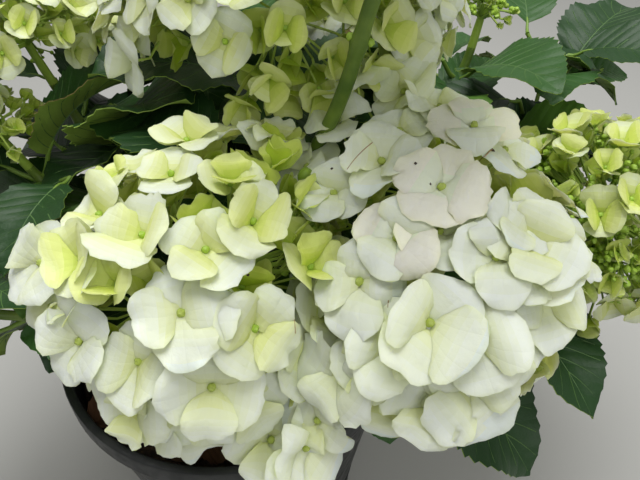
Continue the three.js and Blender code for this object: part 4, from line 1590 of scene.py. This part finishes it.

# %% [markdown]
# The florets that catch the eye are listed: polar angle from the crown of the dome, bearing
# from its lean, share of the dome's radius, width and age. Each lies over those before it. The rest
# take their age from the head and from the regions listed, such as the green middle of the left one.

# %% florets given one by one
CHOSEN = {
    "front_left": [
        (94, -41, 1.38, 0.046, 2.3), (96, -33, 1.2, 0.044, 2.1),
        (84, 5, 0.98, 0.032, 2.2), (91, -12, 1.0, 0.040, 2.1),
        (96, -51, 1.04, 0.041, 1.1), (70, 10, 0.97, 0.036, 1.6), (56, -23, 1.0, 0.049, 1.9),
        (58, 80, 1.16, 0.046, 2.2), (64, 64, 1.02, 0.041, 2.1), (54, 40, 1.0, 0.043, 2.2),
        (66, -178, 1.08, 0.041, 1.6), (67, -158, 1.14, 0.040, 1.3), (71, -156, 1.02, 0.036, 0.5),
        (50, 141, 1.02, 0.041, 1.6), (48, 168, 1.0, 0.041, 1.2), (44, 126, 0.92, 0.026, 0.8),
        (39, 104, 1.0, 0.041, 1.3), (33, 70, 1.0, 0.041, 1.0), (26, 41, 0.97, 0.029, 0.6),
        (29, -148, 1.0, 0.034, 0.8), (54, -119, 1.0, 0.032, 0.45), (10, 76, 1.0, 0.041, 1.3),
        (27, -106, 1.0, 0.041, 1.1), (70, -75, 1.05, 0.045, 1.4), (45, -50, 1.02, 0.044, 1.45),
        (28, -17, 1.02, 0.047, 2.2),
    ],
    "front_right": [
        (76, 38, 1.0, 0.042, 2.1), (69, 26, 0.98, 0.042, 1.7), (62, 14, 1.0, 0.041, 2.0),
        (92, 43, 1.12, 0.040, 2.0), (54, 2, 0.99, 0.044, 2.2), (44, -18, 0.98, 0.042, 2.1),
        (64, 10, 0.96, 0.026, 1.1), (71, 45, 1.03, 0.047, 2.2), (46, 34, 1.0, 0.041, 2.0),
        (41, -46, 0.98, 0.042, 2.1), (37, 1, 1.0, 0.047, 2.2), (35, 24, 1.02, 0.047, 2.1),
        (77, 124, 1.12, 0.043, 2.2), (69, 142, 1.2, 0.043, 2.3), (66, 155, 1.2, 0.042, 2.0),
        (62, 170, 1.14, 0.042, 1.8), (50, -178, 1.06, 0.041, 1.8), (42, -140, 1.04, 0.040, 2.2),
        (52, 110, 1.0, 0.041, 2.3), (24, 71, 0.98, 0.040, 2.7), (34, -162, 1.0, 0.043, 2.9),
        (34, 131, 1.0, 0.044, 2.3), (9, 135, 1.0, 0.045, 3.0), (29, -54, 1.0, 0.041, 2.0),
        (17, -26, 1.0, 0.040, 2.5), (17, -73, 1.0, 0.034, 2.0), (22, -59, 1.02, 0.043, 1.7),
        (42, 62, 1.02, 0.047, 2.3),
    ],
    "back": [(107, 58, 1.05, 0.042, 2.2)],
    "right": [
        (66, 125, 1.04, 0.034, 0.85), (47, 119, 1.0, 0.032, 0.7), (28, 173, 1.0, 0.034, 0.75),
        (56, -165, 1.02, 0.034, 0.7), (92, 178, 1.2, 0.028, 0.9), (131, 76, 1.15, 0.026, 0.3),
    ],
}
# Each region is the head it is on, its polar angle and bearing, how wide it is, and the age there.
REGIONS = [
    ("front_left", 58, -128, 52, 0.3), ("front_right", 14, 150, 30, 2.8),
    # The middle of the back head gets a low age, so it is greener and darker: partly its own colour, partly
    # painted shade under the heads above it.
    ("back", 96, 0, 60, 0.62), ("back", 80, 50, 34, 1.9), ("back", 100, -62, 34, 1.9),
    ("right", 95, 130, 50, 0.1),
]
REGION_FIRMNESS = 1.15
# Each bare patch is where a head is flatter than its dome and has no florets.
BARE = [
    ("front_right", 47, -108, 15), ("front_right", 80, -28, 20), ("front_right", 84, -60, 24),
    ("front_right", 92, 10, 22), ("left", 125, -100, 30), ("back", 104, 36, 17), ("back", 92, 24, 10),
]
AGE_VARIES = 0.25


def degrees_apart(spot, polar, bearing):
    """The angle between a direction and one given by polar angle and bearing."""
    return math.degrees(math.acos(np.clip(spot @ direction(polar, bearing), -1, 1)))


def is_bare(stem, spot):
    return any(
        name == stem["name"] and degrees_apart(spot, polar, bearing) < wide
        for name, polar, bearing, wide in BARE
    )


def age_at(stem, spot, rng):
    """A floret's age: the head's own, drawn towards that of any region it is in."""
    age = stem["age"] + rng.normal(0, AGE_VARIES)
    for name, polar, bearing, wide, there in REGIONS:
        if name == stem["name"]:
            far = degrees_apart(spot, polar, bearing) / wide
            pull = float(np.clip(REGION_FIRMNESS - far**2, 0, 1))
            age = age + (there - age) * pull
    return float(np.clip(age, 0, OLDEST))


print("florets placed by hand:", sum(len(rows) for rows in CHOSEN.values()))

# %% [markdown]
# At the eye of each floret sits a tight round bud, the true flower, on a short thread. Heads that
# are still opening show many more such buds between their florets. A bud is a small ball pinched by a
# cross, where its four petals meet. It is modelled finer for the eyes than for the small buds.

# %% one bud
BUD_TOP, BUD_DENT = 0.98, 0.25
CROSS_WIDTH, CROSS_LOW = 0.05, 0.2
CROSS_PINCH = (0.8, 0.8, 0.92)
BUD_KNOBS = (0.86, 1.1)


def round_bud(segments, rings):
    clear_selection()
    bpy.ops.mesh.primitive_uv_sphere_add(segments=segments, ring_count=rings, radius=1)
    piece = bpy.context.active_object
    open_for_editing(piece)
    pick_points(piece, lambda co: co.z > BUD_TOP)
    bpy.ops.transform.translate(value=(0, 0, -BUD_DENT))
    pick_points(
        piece,
        lambda co: min(abs(co.x), abs(co.y)) < CROSS_WIDTH and CROSS_LOW < co.z < BUD_TOP,
    )
    bpy.ops.transform.resize(value=CROSS_PINCH, center_override=(0, 0, 0))
    bpy.ops.object.mode_set(mode="OBJECT")
    return Shape(piece)


def add_bud(gathered, shape, place, normal, radius, tint, rng):
    knobbly = shape.co * rng.uniform(*BUD_KNOBS, (len(shape.co), 1))
    turned = radius * knobbly @ ways_about(normal)
    gathered.add(place + turned, shape.corners, shape.sizes, tint)


eye_shape = round_bud(segments=12, rings=6)
bud_shape = round_bud(segments=8, rings=5)
print("bud faces:", len(eye_shape.sizes), "and", len(bud_shape.sizes))

# %% [markdown]
# A floret takes its place on the dome, or a little below it, and turns up towards the light. Those
# listed also turn towards the front. A floret that would sit in another head or on another
# stem is left out. On some florets the whitest faces are painted a greyer green-white as painted
# shade, more often in the inner layer.

# %% the florets of a head
INNER_REACH, INNER_SMALLER, INNER_SHARE = 0.78, 0.9, 0.65
# The inner florets are younger, so greener and darker, than the outer ones: partly as on the plant, partly
# as painted shade in the gaps between florets.
INNER_YOUNGER_AND_SHADED, INNER_YOUNGEST, INNER_OLDEST = 0.9, 0.2, 0.9
OUTER_REACH, OUTER_WIDTH = (0.93, 0.99), (0.88, 1.1)
WIDTH_AGES, WIDTH_AT = [0, 1, OLDEST], [0.7, 0.95, 1.02]
ORDER_VARIES = 0.012
HAND_SUNK, STRAY = 0.08, 1.1
FORWARD, STRAY_FORWARD = 0.2, 0.7
UPTURN, WAY_VARIES = 0.26, 0.09
# Shares of florets whose white faces are painted in the shaded white, outside and in the inner layer.
OUTER_SHADE_SHARE, INNER_SHADE_SHARE = 0.2, 0.6
FREE_OF_HEAD, FREE_OF_STEM = 0.86, 0.013


def turn_to(floret, way):
    """Lets a floret face a way."""
    floret["across"], floret["side"], floret["normal"] = ways_about(unit(way))


def floret_at(stem, spot, reach, width, age, rng, shade_share=OUTER_SHADE_SHARE):
    """A floret's place. It turns up towards the light more than the dome below it does."""
    point, normal = place_on_dome(stem, spot, reach)
    level = np.array([normal[0], normal[1], 0]) / max(math.hypot(normal[0], normal[1]), 1e-9)
    lean = (1 - UPTURN) * math.acos(np.clip(normal[2], -1, 1))
    normal = math.sin(lean) * level + np.array([0, 0, math.cos(lean)])
    floret = dict(point=point, width=width, age=age, turn=rng.random() * math.pi, shade_share=shade_share)
    turn_to(floret, normal + rng.normal(0, WAY_VARIES, 3))
    return floret


def is_free(stem, point):
    """True where a floret doesn't sit in another head or on another stem."""
    for other in flowering:
        if other is not stem:
            local = ways_of(other) @ (point - np.array(other["head"])) / np.array(other["radii"])
            if np.linalg.norm(local) < FREE_OF_HEAD:
                return False
    return all(
        other is stem or nearest(point[None], other["line"].points) > FREE_OF_STEM
        for other in STEMS
    )


def head_florets(stem, rng):
    """A head's florets, the deepest first: the inner layer, the free ones, those listed."""
    chosen = CHOSEN.get(stem["name"], [])
    fixed = np.array([direction(polar, bearing) for polar, bearing, *_ in chosen])
    inner, outer = [], []
    for spot in spread_spots(int(INNER_SHARE * stem["florets"]), [], HEAD_REACH, rng):
        # An inner floret's age is lowered and capped: partly its own youth, partly painted shade.
        age = age_at(stem, spot, rng) - INNER_YOUNGER_AND_SHADED
        age = float(np.clip(age, INNER_YOUNGEST, INNER_OLDEST))
        width = INNER_SMALLER * stem["width"]
        if not is_bare(stem, spot):
            inner.append(floret_at(stem, spot, INNER_REACH, width, age, rng, INNER_SHADE_SHARE))
    for spot in spread_spots(stem["florets"] - len(chosen), fixed, HEAD_REACH, rng):
        age = age_at(stem, spot, rng)
        width = stem["width"] * rng.uniform(*OUTER_WIDTH) * np.interp(age, WIDTH_AGES, WIDTH_AT)
        floret = floret_at(stem, spot, rng.uniform(*OUTER_REACH), width, age, rng)
        floret["order"] = floret["point"][2] + rng.normal(0, ORDER_VARIES)
        if not is_bare(stem, spot):
            outer.append(floret)
    outer.sort(key=lambda floret: floret["order"])
    by_hand = []
    for spot, (_, _, reach, width, age) in zip(fixed, chosen):
        stray = reach > STRAY
        floret = floret_at(stem, spot, reach if stray else reach - HAND_SUNK, width, age, rng)
        front = unit(np.array(CAMERA_PLACE) - floret["point"])
        turn_to(floret, floret["normal"] + (STRAY_FORWARD if stray else FORWARD) * front)
        by_hand.append(floret)
    return [floret for floret in inner + outer if is_free(stem, floret["point"])] + by_hand


print("share of florets in the inner layer:", INNER_SHARE)

# %% [markdown]
# Under the florets a head is a little tree: its stalk ends in a hub, branches fan out from there to
# half the dome's radius, and each floret sits on a thread from the nearest branch. All but the stalk
# are tubes of four sides, since there are many hundreds and most are thinner than a match.

# %% the branches of a head
HUB_DEPTH, HUB_SUNK, HUB_RADII, HUB_SIDES = 0.3, 0.002, [0.0036, 0.0034, 0.003], 10
FORKS, FORKS_LOWEST, FORK_REACH, FORK_SAG = 9, 1.7, 0.5, 0.002
FORK_RADII = [0.0021, 0.0018, 0.0015]
NECK = 0.22
PEDICEL_RADII = [0.0009, 0.0008, 0.0008, 0.0011]
PEDICEL_SIDES = 4

eyes, buds, pedicels = Gathering(), Gathering(), Gathering()


def add_thread(path, radii, tint):
    pedicels.add(*tube(path, radii, PEDICEL_SIDES), tint)


def add_branches(stem, florets, rng):
    """The green branches of a head: its stalk, a fan of branches and a thread to each floret."""
    head, up = np.array(stem["head"]), axis_of(stem)
    low = stem["line"].at(1)
    hub = head - HUB_DEPTH * stem["radii"][2] * up
    path = [low - HUB_SUNK * up, (low + hub) / 2, hub]
    pedicels.add(*tube(path, HUB_RADII, HUB_SIDES), 1)
    forks = []
    for spot in spread_spots(FORKS, [], FORKS_LOWEST, rng):
        fork = place_on_dome(stem, spot, FORK_REACH)[0]
        forks.append(fork)
        add_thread([hub, (hub + fork) / 2 - FORK_SAG * up, fork], FORK_RADII, 1)
    for floret in florets:
        fork = min(forks, key=lambda place: np.linalg.norm(place - floret["point"]))
        neck = floret["point"] - NECK * floret["width"] * floret["normal"]
        add_thread([fork, (fork + neck) / 2, neck, floret["point"]], PEDICEL_RADII, 0)


print("branches of each head:", FORKS)

# %% [markdown]
# Each head is grown from the inside out, so that every floret is draped over those before it. The
# two big heads in front, which are seen closest, have the finer sepals. A bud goes into each eye.

# %% grow the heads
EYE_RADIUS, EYE_PROUD = 0.0021, 0.9
EYE_WIDTHS, EYE_SHARES = [0.012, 0.03, 0.05], [0.5, 0.8, 1]
RIPE = 1.5
HEAD_SEED = 300

heads = {}
for number, stem in enumerate(flowering):
    rng = np.random.default_rng(HEAD_SEED + number)
    florets = head_florets(stem, rng)
    shape = fine_sepal if stem["name"].startswith("front") else plain_sepal
    sepals, cover = Gathering(), Cover(stem)
    for floret in florets:
        add_floret(sepals, cover, shape, floret, rng)
        size = EYE_RADIUS * np.interp(floret["width"], EYE_WIDTHS, EYE_SHARES)
        place = floret["point"] + EYE_PROUD * size * floret["normal"]
        add_bud(eyes, eye_shape, place, floret["normal"], size, int(floret["age"] > RIPE), rng)
    add_branches(stem, florets, rng)
    name, nodes = f"sepals_{stem['name']}", [f"bloom_{stem['name']}"]
    heads[stem["name"]] = sepals.piece(name, sepal_finishes, "bloom_open", nodes, crease=60)

# %% [markdown]
# Unopened buds fill the heads that are still young and the cleft between the two in front. They
# stand in small clusters on threads, a little below the florets.

# %% clusters of buds
# Each row is a head, polar angle, bearing, how wide the patch is, how many clusters, and their reach.
BUD_PATCHES = [
    ("front_left", 62, -112, 22, 7, 0.95), ("front_left", 50, -140, 16, 3, 0.95),
    ("front_left", 62, -92, 12, 3, 0.93),
    ("right", 84, -170, 50, 32, 1.02), ("right", 102, 132, 64, 46, 1.02), ("right", 86, 95, 44, 18, 1.0),
    ("right", 30, 160, 60, 7, 0.96), ("left", 40, 0, 90, 30, 0.98),
    ("low_left", 30, 0, 100, 12, 0.95), ("bud", 15, 180, 80, 46, 1.05),
]
CLUSTER_SEED = 77
BUD_RADII = (0.0013, 0.0027)
BUDS_EACH = (4, 9)
CLUSTER_DEEP, CLUSTER_WIDE = 0.01, 0.006
CLUSTER_REACH, CLUSTER_SPREAD, CLUSTER_FROM = (0.94, 1.04), 0.6, 0.5
FULL_SIZE = 0.05
CLUSTER_RADII, BUD_THREAD_RADII = [0.0012, 0.001, 0.0009], [0.0007, 0.0006, 0.0007]


def stem_called(name):
    return next(stem for stem in STEMS if stem["name"] == name)


rng = np.random.default_rng(CLUSTER_SEED)
for name, polar, bearing, wide, clusters, reach in BUD_PATCHES:
    stem = stem_called(name)
    middle = direction(polar, bearing)
    head = np.array(stem["head"])
    small = min(stem["radii"]) / FULL_SIZE
    for _ in range(clusters):
        spot = unit(middle + math.radians(wide) / 2 * rng.normal(0, CLUSTER_SPREAD, 3))
        point, normal = place_on_dome(stem, spot, reach * rng.uniform(*CLUSTER_REACH))
        fork = point - CLUSTER_DEEP * small * normal
        inner = head + CLUSTER_FROM * (fork - head)
        add_thread([inner, (inner + fork) / 2, fork], CLUSTER_RADII, 1)
        for _ in range(rng.integers(*BUDS_EACH)):
            place = point + CLUSTER_WIDE * small * rng.normal(0, CLUSTER_SPREAD, 3)
            add_bud(buds, bud_shape, place, unit(place - fork), rng.uniform(*BUD_RADII), 0, rng)
            add_thread([fork, (fork + place) / 2, place], BUD_THREAD_RADII, 0)
print("clusters of buds:", sum(row[4] for row in BUD_PATCHES))

# %% [markdown]
# One bud in the cleft has swollen to the size of a pea, and two scales still sit on the bare joint of
# the tall stem, one on either side. All three are the finer bud again, each at its own size.

# %% the big bud and the scales
BIG_BUD = dict(head="front_left", polar=64, bearing=-135, reach=1.1, radius=0.0048)
BIG_BUD_NECK = 0.02
SCALE_RADIUS, SCALE_ASIDE, SCALE_ABOVE = 0.0021, 0.0052, 0.002

stem = stem_called(BIG_BUD["head"])
spot = direction(BIG_BUD["polar"], BIG_BUD["bearing"])
point, normal = place_on_dome(stem, spot, BIG_BUD["reach"])
add_bud(buds, eye_shape, point, normal, BIG_BUD["radius"], 0, rng)
add_thread([np.array(stem["head"]), point - BIG_BUD_NECK * normal, point], CLUSTER_RADII, 0)

tall = stem_called("tall")
joint, way = tall["line"].at(tall["bare_joint"]), tall["line"].way(tall["bare_joint"])
aside = ways_about(way)[0]
for side in (-1, 1):
    place = joint + side * SCALE_ASIDE * aside + SCALE_ABOVE * way
    add_bud(buds, eye_shape, place, way, SCALE_RADIUS, 0, rng)

bud_finishes = plain_finishes([
    ("bud_green", (150, 182, 62), 0.5),
    ("bud_eye", (158, 174, 78), 0.55),
])
pedicel_finishes = plain_finishes([
    ("thread_green", (176, 198, 92), 0.55),
    ("branch_green", (142, 170, 62), 0.5),
])
eyes.piece("floret_eyes", bud_finishes, "bloom_bud", [], crease=60)
buds.piece("flower_buds", bud_finishes, "bloom_bud", [], crease=60)
pedicels.piece("head_branches", pedicel_finishes, "bloom_young", [], crease=60)

# %% [markdown]
# The older sepals carry the marks of their age: dark specks, brown threads along a vein, and one
# pink spot. A speck is the crumb again, pressed flat, and a thread is a tube. Each is laid where a
# line from the camera towards its place on the dome first meets a sepal.

# %% marks on the sepals
# Each row is a head, polar angle, bearing, radius in metres and tint.
SPECKS = [
    ("front_right", 66, 126, 0.0008, 0), ("front_right", 24, 146, 0.0008, 0),
    ("front_right", 14, 138, 0.0006, 0), ("front_left", 31, -70, 0.0008, 0),
    ("front_right", 45, 89, 0.0021, 2), ("front_right", 47, 91, 0.0012, 2),
    ("front_right", 33, -146, 0.0013, 0),
]
# Each row is a head, the two ends as polar angle and bearing, and the thread's radius.
THREADS = [
    ("front_right", (33, -146), (22, -152), 0.0004), ("front_right", (50, 143), (51, 122), 0.00028),
    ("front_right", (39, 47), (41, 45), 0.00022), ("front_left", (63, -62), (58, -66), 0.00022),
]
MARK_SEED = 41
THREAD_STEPS, THREAD_BREAK = 14, 0.004
WANDER, WANDERS, WANDERS_FROM = 0.7, 9, 0.0003
THREAD_PROUD, THREAD_END = 0.3, 0.5
SPECK_KNOBS, SPECK_FLATNESS = (0.7, 1.3), [1, 1, 0.25]


def on_head(name, polar, bearing):
    """Where a head's sepals are first met on the way in from the front, and the way out there."""
    aim = place_on_dome(stem_called(name), direction(polar, bearing), 1)[0]
    start = np.array(CAMERA_PLACE)
    found, place, normal, _ = heads[name].ray_cast(Vector(start), Vector(unit(aim - start)))
    return (np.array(place), np.array(normal)) if found else (None, None)


marks = Gathering()
rng = np.random.default_rng(MARK_SEED)
for name, polar, bearing, radius, tint in SPECKS:
    place, normal = on_head(name, polar, bearing)
    if place is not None:
        blot = crumb.co * rng.uniform(*SPECK_KNOBS, (len(crumb.co), 1)) * SPECK_FLATNESS
        marks.add(place + radius * blot @ ways_about(normal), crumb.corners, crumb.sizes, tint)
for name, start, end, radius in THREADS:
    path = []
    for share in np.linspace(0, 1, THREAD_STEPS):
        wander = WANDER * math.sin(WANDERS * share) * (radius > WANDERS_FROM)
        polar = start[0] + (end[0] - start[0]) * share + wander
        place, normal = on_head(name, polar, start[1] + (end[1] - start[1]) * share)
        if place is not None:
            path.append(place + THREAD_PROUD * radius * normal)
    steps = [b for a, b in zip(path, path[1:]) if np.linalg.norm(b - a) < THREAD_BREAK]
    steady = [path[0]] + steps
    if len(steady) > 2:
        radii = np.linspace(radius, THREAD_END * radius, len(steady))
        marks.add(*tube(steady, radii, PEDICEL_SIDES), 1)
mark_finishes = plain_finishes([
    ("mark_dark", (58, 46, 38), 0.8),
    ("mark_rust", (160, 128, 84), 0.8),
    ("mark_pink", (228, 84, 112), 0.7),
])
marks.piece("sepal_marks", mark_finishes, "bloom_open", [], crease=60)

# %% [markdown]
# The last step works out how big the dressed plant is beside the solids, and prints its box.

# %% sizes and finish
low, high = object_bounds()
sizes = {"cad": [list(cad_low), list(cad_high)], "visual": [list(low), list(high)]}
print("visual box:", [round(x, 3) for x in low], [round(x, 3) for x in high])
